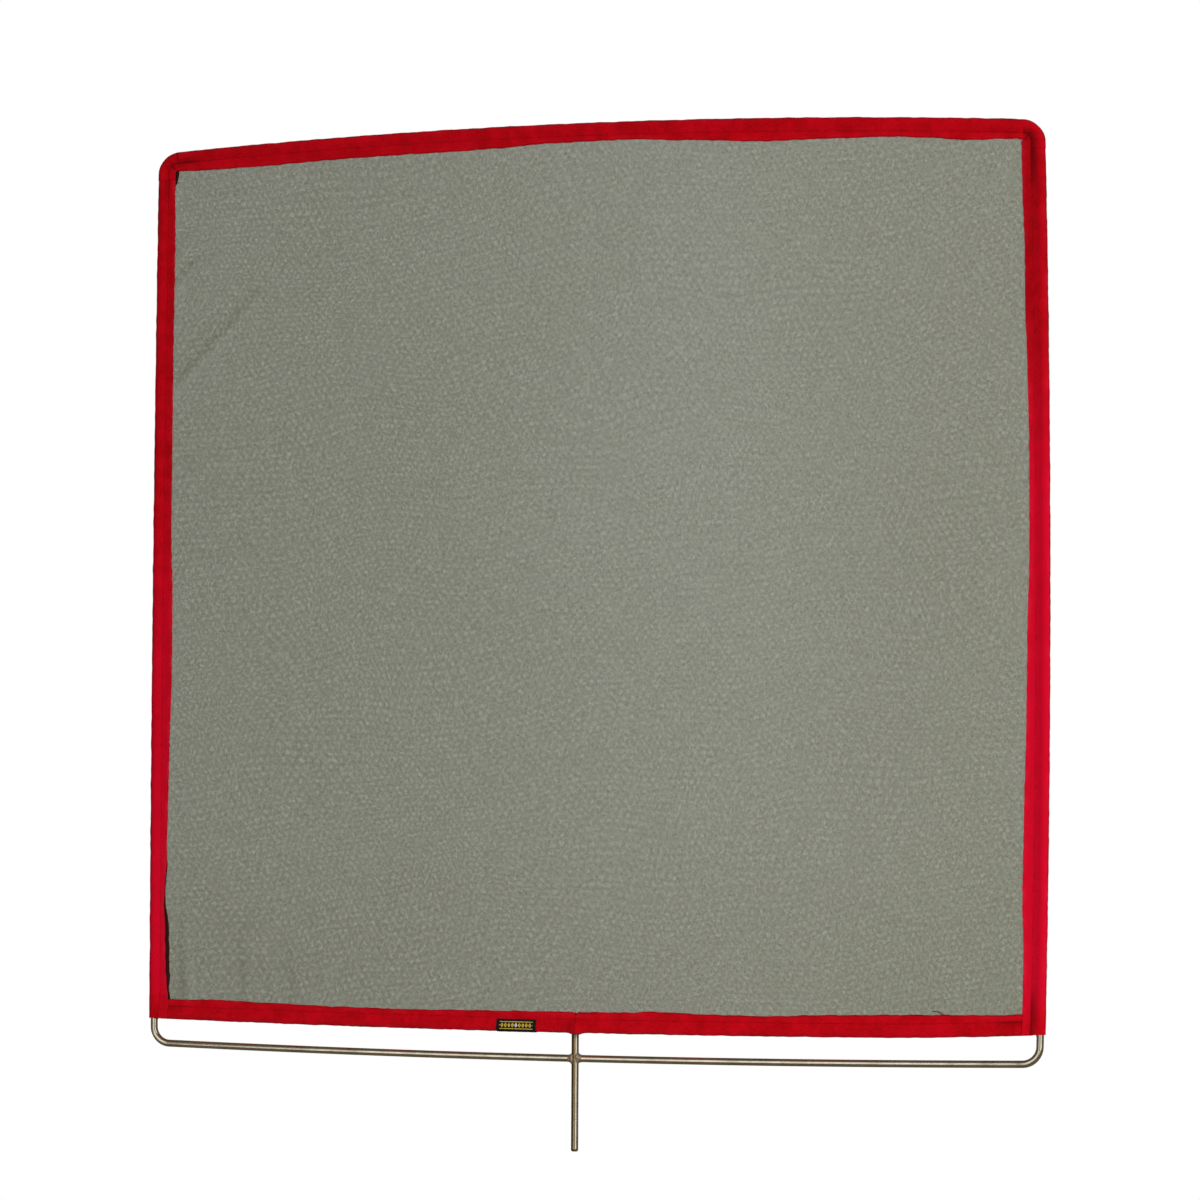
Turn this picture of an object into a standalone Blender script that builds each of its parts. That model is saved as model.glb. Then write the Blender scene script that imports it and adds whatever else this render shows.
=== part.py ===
"""Net flag: a square of see-through net, stretched in a bent steel rod frame with a gripping pin.

Metres, +Z up. The net hangs in the XZ plane and its front faces -Y. The origin is on the
pin's axis, at the point where a grip head clamps it.
"""

import math

import bmesh
import bpy
from mathutils import Vector

# Rod frame. Width and height are taken over the rods, at the corners.
FRAME_WIDTH = 1.2192
FRAME_HEIGHT = 1.2192
ROD_DIAMETER = 0.009525
BEND_RADIUS = 0.022
CROSSBAR_RISE = 0.0395

# How far the middle of each side bows outward.
TOP_BOW = 0.0190
BOTTOM_BOW = 0.0073
LEFT_BOW = 0.0021
RIGHT_BOW = 0.0070

# Pin. It is welded a little to the left of the frame's middle.
PIN_DIAMETER = 0.009525
PIN_BELOW_BAR = 0.122
GRIP_BELOW_BAR = 0.061
PIN_OFFSET = -0.011
PIN_CHAMFER = 0.0012

# Weld beads: how far each stands off its rod, and how far it runs along it.
BEAD_LEG = 0.0042
BEAD_TIP = 0.0006
BAR_BEAD_FLATTENING = 0.30
CROSSBAR_BEAD_FLATTENING = 0.0
COLLAR_LEG = 0.0018
COLLAR_DROP = 0.0009

# Binding tape, folded over the rod and sewn to the net. Distances start at the outer edge.
TAPE_THICKNESS = 0.0009
TAPE_FACE = 0.0265
SEAM_FROM_EDGE = 0.0170
POCKET_SLACK = 0.0004
TOP_TAIL = 0.0090
CORNER_FOLD_RADIUS = 0.0010
CORNER_LIFT_START = 1 / 6
CORNER_LIFT_END = 1 / 2
HEM_END_CLEARANCE = 0.000975
HEM_RAMP = 0.0070
PIN_BULGE = 0.0032
PIN_BULGE_REACH = 0.0260

# Net, two layers.
NET_THICKNESS = 0.0004
NET_PAST_SEAM = 0.0020

# Sewing thread and woven label.
THREAD_DIAMETER = 0.0005
LABEL_WIDTH = 0.0545
LABEL_CENTRE = -0.0800
LABEL_FACE = 0.0155
LABEL_THICKNESS = 0.0006

# Clearance between neighbouring pieces.
GAP = 0.0003

# Fineness of the meshes.
SHARP_ANGLE = 40
ROD_BEVEL_RESOLUTION = 6
THREAD_BEVEL_RESOLUTION = 1
PIN_STEPS = 32
BEAD_STEPS = 24
BEAD_PROFILE_STEPS = 5
CORNER_STEPS = 8
LONG_SIDE_STEPS = 14
SHORT_SIDE_STEPS = 8
POCKET_STEPS = 8
HEM_SLOPE_STEPS = 4
LABEL_STEPS = 4

# Worked out from the dimensions above.
ROD_RADIUS = ROD_DIAMETER / 2
PIN_RADIUS = PIN_DIAMETER / 2
HALF_WIDTH = FRAME_WIDTH / 2 - ROD_RADIUS
LOOP_HEIGHT = FRAME_HEIGHT - ROD_DIAMETER
POCKET_RADIUS = ROD_RADIUS + POCKET_SLACK
HEM_RADIUS = POCKET_RADIUS + TAPE_THICKNESS
SEAM_OFFSET = SEAM_FROM_EDGE - HEM_RADIUS
EDGE_OFFSET = TAPE_FACE - HEM_RADIUS
STITCH_OFFSET = SEAM_OFFSET + TAPE_THICKNESS
NET_OFFSET = SEAM_OFFSET - NET_PAST_SEAM
CORNER_INSET = max(BEND_RADIUS, EDGE_OFFSET + CORNER_FOLD_RADIUS)
FLANGE_Y = GAP / 2 + NET_THICKNESS + GAP
LAYER = TAPE_THICKNESS + GAP
MIDDLE_X = -PIN_OFFSET
PIN_SHARE = 1 - (PIN_OFFSET / HALF_WIDTH) ** 2
BAR_Z = GRIP_BELOW_BAR + BOTTOM_BOW * PIN_SHARE
PIN_END_Z = GRIP_BELOW_BAR - PIN_BELOW_BAR
CUTTER_REACH = 6 * ROD_RADIUS

STEEL = (0.42, 0.38, 0.31), 0.28, 1.0
BRONZE = (0.36, 0.25, 0.15), 0.45, 1.0
RED_COTTON = (0.46, 0.0, 0.008), 0.85, 0.0
BLACK_NET = (0.02, 0.02, 0.018), 0.9, 0.0
RED_THREAD = (0.34, 0.0, 0.006), 0.6, 0.0
BLACK_LABEL = (0.015, 0.013, 0.01), 0.7, 0.0


def clear_scene():
    for item in list(bpy.data.objects):
        bpy.data.objects.remove(item, do_unlink=True)


def new_collection(name):
    collection = bpy.data.collections.new(name)
    bpy.context.scene.collection.children.link(collection)
    return collection


def finish(item, look):
    """Give a piece its own material."""
    colour, roughness, metallic = look
    material = bpy.data.materials.new(item.name + "_finish")
    material.use_nodes = True
    shader = material.node_tree.nodes["Principled BSDF"]
    shader.inputs["Base Color"].default_value = (*colour, 1)
    shader.inputs["Roughness"].default_value = roughness
    shader.inputs["Metallic"].default_value = metallic
    item.data.materials.append(material)


def smooth(mesh):
    mesh.shade_smooth()
    mesh.set_sharp_from_angle(angle=math.radians(SHARP_ANGLE))


def as_cutter(item):
    cutters.objects.link(item)
    item.hide_render = True
    item.display_type = "WIRE"
    return item


def cut(item, cutter):
    boolean = item.modifiers.new("cut_" + cutter.name, "BOOLEAN")
    boolean.operation = "DIFFERENCE"
    boolean.object = cutter


def bowed(u, w):
    """Place a point of the plain rectangle in the frame, whose sides bow outward.

    u runs to the right from the frame's middle, and w up from the bottom bar's corners.
    """
    up = w / LOOP_HEIGHT
    right = 0.5 * (1 + u / HALF_WIDTH)
    across = 1 - (u / HALF_WIDTH) ** 2
    along = 1 - (2 * up - 1) ** 2
    x = MIDDLE_X + u + along * (RIGHT_BOW * right - LEFT_BOW * (1 - right))
    z = BAR_Z + w + across * (TOP_BOW * up - BOTTOM_BOW * (1 - up))
    return x, z


def rod_point(u, w):
    x, z = bowed(u, w)
    return Vector((x, 0, z))


def spread(start, end, steps):
    return [start + (end - start) * k / steps for k in range(steps + 1)]


def corner(side, level, turn, offset=0.0):
    """A point on a corner's bend, at an offset inward from the rod's centreline.

    side is -1 at the left and 1 at the right, level is -1 at the bottom and 1 at the top,
    and turn goes from 0 at the upright stretch to a right angle at the level one. An
    offset past the bend's centre ends in a fold of its own small radius.
    """
    radius = max(BEND_RADIUS - offset, CORNER_FOLD_RADIUS)
    inset = offset + radius
    u = side * (HALF_WIDTH - inset + radius * math.cos(turn))
    middle = LOOP_HEIGHT - inset if level > 0 else inset
    return u, middle + level * radius * math.sin(turn)


def tube_curve(name, points, radius, resolution):
    curve = bpy.data.curves.new(name, "CURVE")
    curve.dimensions = "3D"
    curve.bevel_depth = radius
    curve.bevel_resolution = resolution
    curve.use_fill_caps = True
    spline = curve.splines.new("POLY")
    spline.points.add(len(points) - 1)
    for knot, place in zip(spline.points, points):
        knot.co = (*place, 1)
    return curve


def add_tube(name, points, radius, look, resolution=ROD_BEVEL_RESOLUTION):
    item = bpy.data.objects.new(name, tube_curve(name, points, radius, resolution))
    parts.objects.link(item)
    finish(item, look)
    return item


def tube_cutter(name, points, radius):
    """A closed mesh tube, because a curve can't cut."""
    source = bpy.data.objects.new(name + "_path", tube_curve(name, points, radius, ROD_BEVEL_RESOLUTION))
    parts.objects.link(source)
    evaluated = source.evaluated_get(bpy.context.evaluated_depsgraph_get())
    mesh = bpy.data.meshes.new_from_object(evaluated)
    bpy.data.objects.remove(source, do_unlink=True)
    shape = bmesh.new()
    shape.from_mesh(mesh)
    bmesh.ops.remove_doubles(shape, verts=shape.verts, dist=0.00001)
    shape.to_mesh(mesh)
    shape.free()
    return as_cutter(bpy.data.objects.new(name, mesh))


def frame_path():
    """The rod's centreline, from the pin round by the left, the top and the right."""
    quarter = math.pi / 2
    butt = PIN_RADIUS + GAP
    straight_u = HALF_WIDTH - BEND_RADIUS
    low, high = BEND_RADIUS, LOOP_HEIGHT - BEND_RADIUS
    plan = [(u, 0) for u in spread(PIN_OFFSET - butt, -straight_u, SHORT_SIDE_STEPS)[:-1]]
    plan += [corner(-1, -1, turn) for turn in spread(quarter, 0, CORNER_STEPS)]
    plan += [(-HALF_WIDTH, w) for w in spread(low, high, LONG_SIDE_STEPS)[1:-1]]
    plan += [corner(-1, 1, turn) for turn in spread(0, quarter, CORNER_STEPS)]
    plan += [(u, LOOP_HEIGHT) for u in spread(-straight_u, straight_u, LONG_SIDE_STEPS)[1:-1]]
    plan += [corner(1, 1, turn) for turn in spread(quarter, 0, CORNER_STEPS)]
    plan += [(HALF_WIDTH, w) for w in spread(high, low, LONG_SIDE_STEPS)[1:-1]]
    plan += [corner(1, -1, turn) for turn in spread(0, quarter, CORNER_STEPS)]
    plan += [(u, 0) for u in spread(straight_u, PIN_OFFSET + butt, SHORT_SIDE_STEPS)[1:]]
    return [rod_point(u, w) for u, w in plan]


def crossbar_path():
    reach = HALF_WIDTH - ROD_RADIUS - GAP
    return [rod_point(u, CROSSBAR_RISE) for u in spread(-reach, reach, LONG_SIDE_STEPS)]


def crossbar_z(x):
    return bowed(x - MIDDLE_X, CROSSBAR_RISE)[1]


def bar_z():
    return bowed(PIN_OFFSET, 0)[1]


def add_pin():
    top = crossbar_z(0) - ROD_RADIUS - GAP
    shape = bmesh.new()
    bmesh.ops.create_cone(
        shape, cap_ends=True, segments=PIN_STEPS, radius1=PIN_RADIUS, radius2=PIN_RADIUS, depth=top - PIN_END_Z
    )
    mesh = bpy.data.meshes.new("pin")
    shape.to_mesh(mesh)
    shape.free()
    smooth(mesh)
    item = bpy.data.objects.new("pin", mesh)
    item.location = (0, 0, (top + PIN_END_Z) / 2)
    parts.objects.link(item)
    bevel = item.modifiers.new("chamfer", "BEVEL")
    bevel.width = PIN_CHAMFER
    bevel.segments = 2
    bevel.limit_method = "ANGLE"
    finish(item, STEEL)


def add_bead(name, rings, core, flattening, place, tilt, rods):
    """A weld bead: a round body about Z, cut by the rods that it joins.

    rings are (extra radius, height) pairs from top to bottom, where the extra radius is what
    stands off the core, the rod that the bead goes round. Along Y the extra is multiplied by
    the flattening.
    """
    shape = bmesh.new()
    bmesh.ops.create_uvsphere(shape, u_segments=BEAD_STEPS, v_segments=len(rings) + 1, radius=1)
    for vertex in shape.verts:
        ring = round(math.acos(max(-1.0, min(1.0, vertex.co.z))) / math.pi * (len(rings) + 1))
        if ring in (0, len(rings) + 1):
            vertex.co = (0, 0, rings[0][1] if ring == 0 else rings[-1][1])
            continue
        turn = math.atan2(vertex.co.y, vertex.co.x)
        extra, height = rings[ring - 1]
        squeeze = flattening + (1 - flattening) * math.cos(turn) ** 2
        radius = core + BEAD_TIP + (extra - BEAD_TIP) * squeeze
        vertex.co = (radius * math.cos(turn), radius * math.sin(turn), height)
    mesh = bpy.data.meshes.new(name)
    shape.to_mesh(mesh)
    shape.free()
    smooth(mesh)
    item = bpy.data.objects.new(name, mesh)
    item.location = place
    item.rotation_euler = (0, tilt, 0)
    parts.objects.link(item)
    for cutter in rods:
        cut(item, cutter)
    finish(item, BRONZE)


def add_fillet_bead(name, upright, flattening, place, direction, rods):
    """The weld round the end of a level rod, where it butts against an upright of some radius.

    direction is the side, -1 or 1, on which the level rod leaves the upright.
    """
    rings = []
    for turn in spread(0, math.pi / 2, BEAD_PROFILE_STEPS):
        extra = BEAD_LEG - (BEAD_LEG - BEAD_TIP) * math.cos(turn)
        rings.append((extra, upright + BEAD_LEG * (1 - math.sin(turn))))
    rings.append((BEAD_LEG, 0))
    add_bead(name, rings, ROD_RADIUS, flattening, place, direction * math.pi / 2, rods)


def add_collar_bead(rods):
    """The weld between the pin's upper end and the crossbar."""
    rings = [
        (COLLAR_LEG, -ROD_RADIUS / 4),
        (COLLAR_LEG, -ROD_RADIUS / 2),
        (BEAD_TIP, -ROD_RADIUS - COLLAR_DROP),
    ]
    add_bead("weld_pin_crossbar", rings, PIN_RADIUS, 1, (0, 0, crossbar_z(0)), 0, rods)


def teardrop(pocket, seam_offset, seam_y):
    """The angle, from the inward direction, where the pocket's sides leave the rod's circle."""
    reach = math.hypot(seam_offset, seam_y)
    return math.atan2(seam_y, seam_offset) + math.acos(pocket / reach)


def pocket_arc(pocket, seam_offset, seam_y):
    """Points round the rod from the front tangent to the back one, as (offset, y)."""
    start = teardrop(pocket, seam_offset, seam_y)
    turns = spread(start, 2 * math.pi - start, POCKET_STEPS)
    return [(pocket * math.cos(turn), -pocket * math.sin(turn)) for turn in turns]


def tape_profile(pocket, flange_y):
    """The tape's inner face across its width: front edge, seam, pocket, seam, back edge."""
    front = [(EDGE_OFFSET, -flange_y), (SEAM_OFFSET, -flange_y)]
    back = [(SEAM_OFFSET, flange_y), (EDGE_OFFSET, flange_y)]
    return front + pocket_arc(pocket, SEAM_OFFSET, flange_y) + back


def hem_outline(offset):
    """Half the thickness of a hem at an offset from its rod's centreline."""
    seam_y = FLANGE_Y + TAPE_THICKNESS
    turn = teardrop(HEM_RADIUS, SEAM_OFFSET, seam_y)
    tangent = HEM_RADIUS * math.cos(turn)
    if offset <= 0:
        return HEM_RADIUS
    if offset < tangent:
        return math.sqrt(HEM_RADIUS**2 - offset**2)
    if offset < SEAM_OFFSET:
        share = (offset - tangent) / (SEAM_OFFSET - tangent)
        return HEM_RADIUS * math.sin(turn) * (1 - share) + seam_y * share
    return seam_y


def bent_sheet(name, profiles, place, thickness, look):
    """A grid bent so that row r follows profiles[r], then given its thickness outward."""
    rows, columns = len(profiles) - 1, len(profiles[0]) - 1
    shape = bmesh.new()
    bmesh.ops.create_grid(shape, x_segments=columns, y_segments=rows, size=1)
    for vertex in shape.verts:
        column = round((vertex.co.x + 1) / 2 * columns)
        row = round((vertex.co.y + 1) / 2 * rows)
        offset, y = profiles[row][column]
        x, z = bowed(*place(row, offset))
        vertex.co = (x, y, z)
    mesh = bpy.data.meshes.new(name)
    shape.to_mesh(mesh)
    shape.free()
    smooth(mesh)
    item = bpy.data.objects.new(name, mesh)
    parts.objects.link(item)
    solidify = item.modifiers.new("thickness", "SOLIDIFY")
    solidify.thickness = thickness
    solidify.offset = 1
    solidify.use_even_offset = True
    finish(item, look)
    return item


def add_thread(name, plan, heights, side):
    """A line of lockstitch, laid on a tape's face along its seam."""
    off = TAPE_THICKNESS + GAP + THREAD_DIAMETER / 2
    points = []
    for (u, w), flange_y in zip(plan, heights):
        x, z = bowed(u, w)
        points.append(Vector((x, side * (flange_y + off), z)))
    add_tube(name, points, THREAD_DIAMETER / 2, RED_THREAD, THREAD_BEVEL_RESOLUTION)


def add_threads(name, plan, heights):
    add_thread("thread_" + name + "_front", plan, heights, -1)
    add_thread("thread_" + name + "_back", plan, heights, 1)


def top_stations():
    """Where the top tape's rows lie, right to left, and how far each is lifted over the side tapes."""
    quarter = math.pi / 2
    half_turns = spread(0, quarter, CORNER_STEPS)
    tail = LOOP_HEIGHT - CORNER_INSET - TOP_TAIL

    def upright(side):
        return lambda offset: (side * (HALF_WIDTH - offset), tail)

    def bend(side, turn):
        return lambda offset: corner(side, 1, turn, offset)

    def level(share):
        def place(offset):
            start, w = corner(-1, 1, quarter, offset)
            end = corner(1, 1, quarter, offset)[0]
            return start + (end - start) * share, w

        return place

    def lift(turn):
        share = (CORNER_LIFT_END - turn / quarter) / (CORNER_LIFT_END - CORNER_LIFT_START)
        return LAYER * min(1.0, max(0.0, share))

    stations = [(upright(1), LAYER)]
    stations += [(bend(1, turn), lift(turn)) for turn in half_turns]
    stations += [(level(share), 0.0) for share in spread(1, 0, LONG_SIDE_STEPS)[1:-1]]
    stations += [(bend(-1, turn), lift(turn)) for turn in reversed(half_turns)]
    stations += [(upright(-1), LAYER)]
    return stations


def add_top_tape():
    stations = top_stations()
    profiles = [tape_profile(POCKET_RADIUS + lift, FLANGE_Y + lift) for place, lift in stations]
    bent_sheet("tape_top", profiles, lambda row, offset: stations[row][0](offset), TAPE_THICKNESS, RED_COTTON)
    plan = [place(STITCH_OFFSET) for place, lift in stations]
    add_threads("top", plan, [FLANGE_Y + lift for place, lift in stations])


def side_levels():
    """Heights of a side tape's rows: fine where it laps over the bottom hem, then even."""
    rise = CROSSBAR_RISE
    turn = teardrop(HEM_RADIUS, SEAM_OFFSET, FLANGE_Y + TAPE_THICKNESS)
    slope = spread(HEM_RADIUS * math.cos(turn), SEAM_OFFSET, HEM_SLOPE_STEPS)
    hem = [-HEM_RADIUS, 0, *slope, EDGE_OFFSET]
    start = rise + EDGE_OFFSET + HEM_RAMP
    return [rise + offset for offset in hem] + spread(start, LOOP_HEIGHT - CORNER_INSET, LONG_SIDE_STEPS)


def past_hem(w):
    """0 where a side tape laps over the bottom hem, rising to 1 where it is clear of it."""
    return min(1.0, max(0.0, (w - CROSSBAR_RISE - EDGE_OFFSET) / HEM_RAMP))


def side_flange(w):
    """Half the gap between a side tape's flanges, which open to take in the bottom hem."""
    over_hem = hem_outline(w - CROSSBAR_RISE) + 2 * GAP
    share = past_hem(w)
    return over_hem * (1 - share) + FLANGE_Y * share


def side_pocket(w):
    """The radius of a side tape's pocket, which is wider round the weld of the crossbar."""
    return POCKET_RADIUS + BEAD_TIP * (1 - past_hem(w))


def add_side_tape(side, name):
    levels = side_levels()
    profiles = [tape_profile(side_pocket(w), side_flange(w)) for w in levels]
    rows = list(zip(levels, profiles))
    if side < 0:
        rows.reverse()
    bent_sheet(
        "tape_" + name,
        [profile for w, profile in rows],
        lambda row, offset: (side * (HALF_WIDTH - offset), rows[row][0]),
        TAPE_THICKNESS,
        RED_COTTON,
    )
    top_tape_end = LOOP_HEIGHT - CORNER_INSET - TOP_TAIL
    sewn = [w for w in levels if w < top_tape_end - GAP] + [top_tape_end - GAP]
    plan = [(side * (HALF_WIDTH - STITCH_OFFSET), w) for w in sewn]
    add_threads(name, plan, [side_flange(w) for w in sewn])


def pin_bulge(u):
    """How far the bottom hem swells over the weld at the pin."""
    share = min(1.0, abs(u - PIN_OFFSET) / PIN_BULGE_REACH)
    return PIN_BULGE * 0.5 * (1 + math.cos(math.pi * share))


def add_bottom_tape(side, name, pin_hole):
    outer = side * (HALF_WIDTH - ROD_RADIUS - BEAD_LEG - HEM_END_CLEARANCE)
    inner = PIN_OFFSET + side * GAP / 2
    bulge_end = PIN_OFFSET + side * PIN_BULGE_REACH
    stretch = spread(outer, bulge_end, SHORT_SIDE_STEPS)
    swell = spread(bulge_end, inner, SHORT_SIDE_STEPS)[1:]
    along = stretch + swell
    if side > 0:
        along.reverse()
    profiles = [tape_profile(POCKET_RADIUS + pin_bulge(u), FLANGE_Y) for u in along]
    item = bent_sheet(
        "tape_bottom_" + name,
        profiles,
        lambda row, offset: (along[row], CROSSBAR_RISE + offset),
        TAPE_THICKNESS,
        RED_COTTON,
    )
    cut(item, pin_hole)
    clear_of_side = HALF_WIDTH - EDGE_OFFSET - 2 * GAP
    sewn = [u for u in along if abs(u) < clear_of_side]
    sewn.insert(0 if side < 0 else len(sewn), side * clear_of_side)
    plan = [(u, CROSSBAR_RISE + STITCH_OFFSET) for u in sewn]
    add_threads("bottom_" + name, plan, [FLANGE_Y] * len(plan))


def add_label():
    """A woven label folded round the bottom hem, its ends just under the seam."""
    pocket = HEM_RADIUS + GAP
    seam_y = FLANGE_Y + TAPE_THICKNESS + GAP
    reach = LABEL_FACE - HEM_RADIUS
    arc = pocket_arc(pocket, SEAM_OFFSET, seam_y)
    tangent, side_y = arc[0]
    share = (reach - tangent) / (SEAM_OFFSET - tangent)
    end_y = side_y * (1 - share) - seam_y * share
    profile = [(reach, end_y)] + arc + [(reach, -end_y)]
    middle = LABEL_CENTRE - MIDDLE_X
    along = spread(middle - LABEL_WIDTH / 2, middle + LABEL_WIDTH / 2, LABEL_STEPS)
    bent_sheet(
        "label",
        [profile] * len(along),
        lambda row, offset: (along[row], CROSSBAR_RISE + offset),
        LABEL_THICKNESS,
        BLACK_LABEL,
    )


def net_outline():
    """The net's cut edge, inside the tapes all round, with the bends' corners rounded off."""
    half_u = HALF_WIDTH - NET_OFFSET
    low = CROSSBAR_RISE + NET_OFFSET
    quarter = math.pi / 2
    left = [corner(-1, 1, turn, NET_OFFSET) for turn in spread(0, quarter, CORNER_STEPS)]
    right = [corner(1, 1, turn, NET_OFFSET) for turn in spread(quarter, 0, CORNER_STEPS)]
    start_w, end_u = left[0][1], left[-1][0]
    plan = [(u, low) for u in spread(half_u, -half_u, LONG_SIDE_STEPS)[:-1]]
    plan += [(-half_u, w) for w in spread(low, start_w, LONG_SIDE_STEPS)[:-1]]
    plan += left
    plan += [(u, left[-1][1]) for u in spread(end_u, -end_u, LONG_SIDE_STEPS)[1:-1]]
    plan += right
    plan += [(half_u, w) for w in spread(start_w, low, LONG_SIDE_STEPS)[1:-1]]
    return [bowed(u, w) for u, w in plan]


def add_net(name, side):
    """One layer of net, caught between the tapes all round."""
    curve = bpy.data.curves.new(name, "CURVE")
    curve.dimensions = "2D"
    curve.fill_mode = "BOTH"
    curve.extrude = NET_THICKNESS / 2
    outline = net_outline()
    spline = curve.splines.new("POLY")
    spline.points.add(len(outline) - 1)
    for knot, (x, z) in zip(spline.points, outline):
        knot.co = (x, z, 0, 1)
    spline.use_cyclic_u = True
    item = bpy.data.objects.new(name, curve)
    item.rotation_euler = (math.pi / 2, 0, 0)
    item.location = (0, side * (GAP + NET_THICKNESS) / 2, 0)
    parts.objects.link(item)
    finish(item, BLACK_NET)


def add_bar_weld(side, name, pin_cutter):
    """The weld between the pin and one end of the frame rod."""
    z = bar_z()
    reach = [(side * PIN_RADIUS, 0, z), (side * (PIN_RADIUS + CUTTER_REACH), 0, z)]
    bar_cutter = tube_cutter("bar_end_" + name, reach, ROD_RADIUS + GAP)
    add_fillet_bead(
        "weld_bar_" + name, PIN_RADIUS, BAR_BEAD_FLATTENING, (0, 0, z), side, [pin_cutter, bar_cutter]
    )


def add_crossbar_weld(side, name):
    """The weld between one end of the crossbar and the frame's side."""
    clear = ROD_RADIUS + GAP
    levels = spread(CROSSBAR_RISE - CUTTER_REACH, CROSSBAR_RISE + CUTTER_REACH, 4)
    side_cutter = tube_cutter("side_rod_" + name, [rod_point(side * HALF_WIDTH, w) for w in levels], clear)
    stretch = spread(HALF_WIDTH - ROD_RADIUS, HALF_WIDTH - ROD_RADIUS - CUTTER_REACH, 2)
    end_points = [rod_point(side * u, CROSSBAR_RISE) for u in stretch]
    end_cutter = tube_cutter("crossbar_end_" + name, end_points, clear)
    place = rod_point(side * HALF_WIDTH, CROSSBAR_RISE)
    add_fillet_bead(
        "weld_crossbar_" + name, ROD_RADIUS, CROSSBAR_BEAD_FLATTENING, place, -side, [side_cutter, end_cutter]
    )


def build():
    add_tube("frame_rod", frame_path(), ROD_RADIUS, STEEL)
    add_tube("crossbar", crossbar_path(), ROD_RADIUS, STEEL)
    add_pin()

    reach = CUTTER_REACH
    pin_top = crossbar_z(0) - ROD_RADIUS
    pin_cutter = tube_cutter("pin_clearance", [(0, 0, PIN_END_Z), (0, 0, pin_top)], PIN_RADIUS + GAP)
    pin_hole = tube_cutter("pin_hole", [(0, 0, PIN_END_Z), (0, 0, crossbar_z(0))], PIN_RADIUS + GAP)
    crossbar_cutter = tube_cutter(
        "crossbar_clearance", [(-reach, 0, crossbar_z(-reach)), (reach, 0, crossbar_z(reach))], ROD_RADIUS + GAP
    )
    add_collar_bead([pin_cutter, crossbar_cutter])
    for side, name in ((-1, "left"), (1, "right")):
        add_bar_weld(side, name, pin_cutter)
        add_crossbar_weld(side, name)
        add_side_tape(side, name)
        add_bottom_tape(side, name, pin_hole)
    add_top_tape()
    add_label()
    add_net("net_front", -1)
    add_net("net_back", 1)


clear_scene()
parts = new_collection("net_flag")
cutters = new_collection("cutters")
build()
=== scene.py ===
"""Net flag: the look of every piece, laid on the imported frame.

Metres, +Z up. The net hangs in the XZ plane and its front faces -Y. Places in the frame are
given as (u, w): u to the right from the frame's middle, w up from the bottom bar's corners.
"""

import math

import bmesh
import bpy
import numpy as np
from mathutils import Matrix, Vector


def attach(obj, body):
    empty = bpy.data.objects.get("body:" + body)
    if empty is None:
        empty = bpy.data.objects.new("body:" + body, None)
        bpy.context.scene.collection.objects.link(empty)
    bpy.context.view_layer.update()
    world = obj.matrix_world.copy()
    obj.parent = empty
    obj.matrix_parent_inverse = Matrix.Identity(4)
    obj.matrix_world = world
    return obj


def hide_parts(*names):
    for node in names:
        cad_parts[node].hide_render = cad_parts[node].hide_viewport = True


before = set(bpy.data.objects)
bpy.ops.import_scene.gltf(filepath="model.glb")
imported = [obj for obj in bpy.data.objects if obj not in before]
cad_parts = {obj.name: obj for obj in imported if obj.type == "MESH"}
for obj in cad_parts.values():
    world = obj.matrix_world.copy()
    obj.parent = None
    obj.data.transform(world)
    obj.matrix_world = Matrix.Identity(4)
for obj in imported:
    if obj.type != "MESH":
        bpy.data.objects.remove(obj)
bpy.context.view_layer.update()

# The frame's sizes, as the part has them.
FRAME_SIZE = 1.2192
ROD_RADIUS = 0.0047625
BEND_RADIUS = 0.022
CROSSBAR_RISE = 0.0395
CROSSBAR_LIFT = 0.0040
TOP_BOW = 0.0190
BOTTOM_BOW = 0.0073
LEFT_BOW = 0.0021
RIGHT_BOW = 0.0070
PIN_OFFSET = -0.011
PIN_END_Z = -0.061
GRIP_BELOW_BAR = 0.061
BEAD_LEG = 0.0042
TAPE_THICKNESS = 0.0009
POCKET_RADIUS = ROD_RADIUS + 0.0004
HEM_RADIUS = POCKET_RADIUS + TAPE_THICKNESS
SEAM_OFFSET = 0.0170 - HEM_RADIUS
EDGE_OFFSET = 0.0265 - HEM_RADIUS
CORNER_FOLD_RADIUS = 0.0010
TOP_TAIL = 0.0090
HEM_RAMP = 0.0070
PIN_BULGE = 0.0028
PIN_BULGE_REACH = 0.0125
GAP = 0.0003
LABEL_WIDTH = 0.0545
LABEL_CENTRE = -0.0800
LABEL_FACE = 0.0155
LABEL_THICKNESS = 0.0006
HALF_WIDTH = FRAME_SIZE / 2 - ROD_RADIUS
LOOP_HEIGHT = FRAME_SIZE - 2 * ROD_RADIUS
FLANGE_Y = 0.00085
LAP_LIFT = 0.00055
TIGHT = 0.00040
NET_OFFSET = SEAM_OFFSET - 0.0020
QUARTER = math.pi / 2
MIDDLE_X = -PIN_OFFSET
BAR_Z = GRIP_BELOW_BAR + BOTTOM_BOW * (1 - (PIN_OFFSET / HALF_WIDTH) ** 2)
TAPE_END = HALF_WIDTH - ROD_RADIUS - BEAD_LEG - 0.000975

# The cloth itself.
CLOTH = 0.00078
ROW_STEP = 0.0020
STITCH_PITCH = 0.0032
THREAD_RADIUS = 0.00026
HEM_COVER = 0.0245
SHEET_WIDTH = 0.0640
# How far a tape's faces stand out: puffed up beside the seam and round the rod, rippled
# everywhere, puckered at the stitches, fluttering at the edge, and sunk in along the seam.
FLANGE_PUFF = 0.00034
WEB_PUFF = 0.00016
RIPPLES = 0.00019
SWELLS = 0.00021
PUCKERS = 0.00013
FLUTTER = 0.00022
VALLEY = 0.00026
DEEPER_VALLEY = 0.00030
SELVAGE = 0.00009
RIM_BULGE = 0.00028
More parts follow.
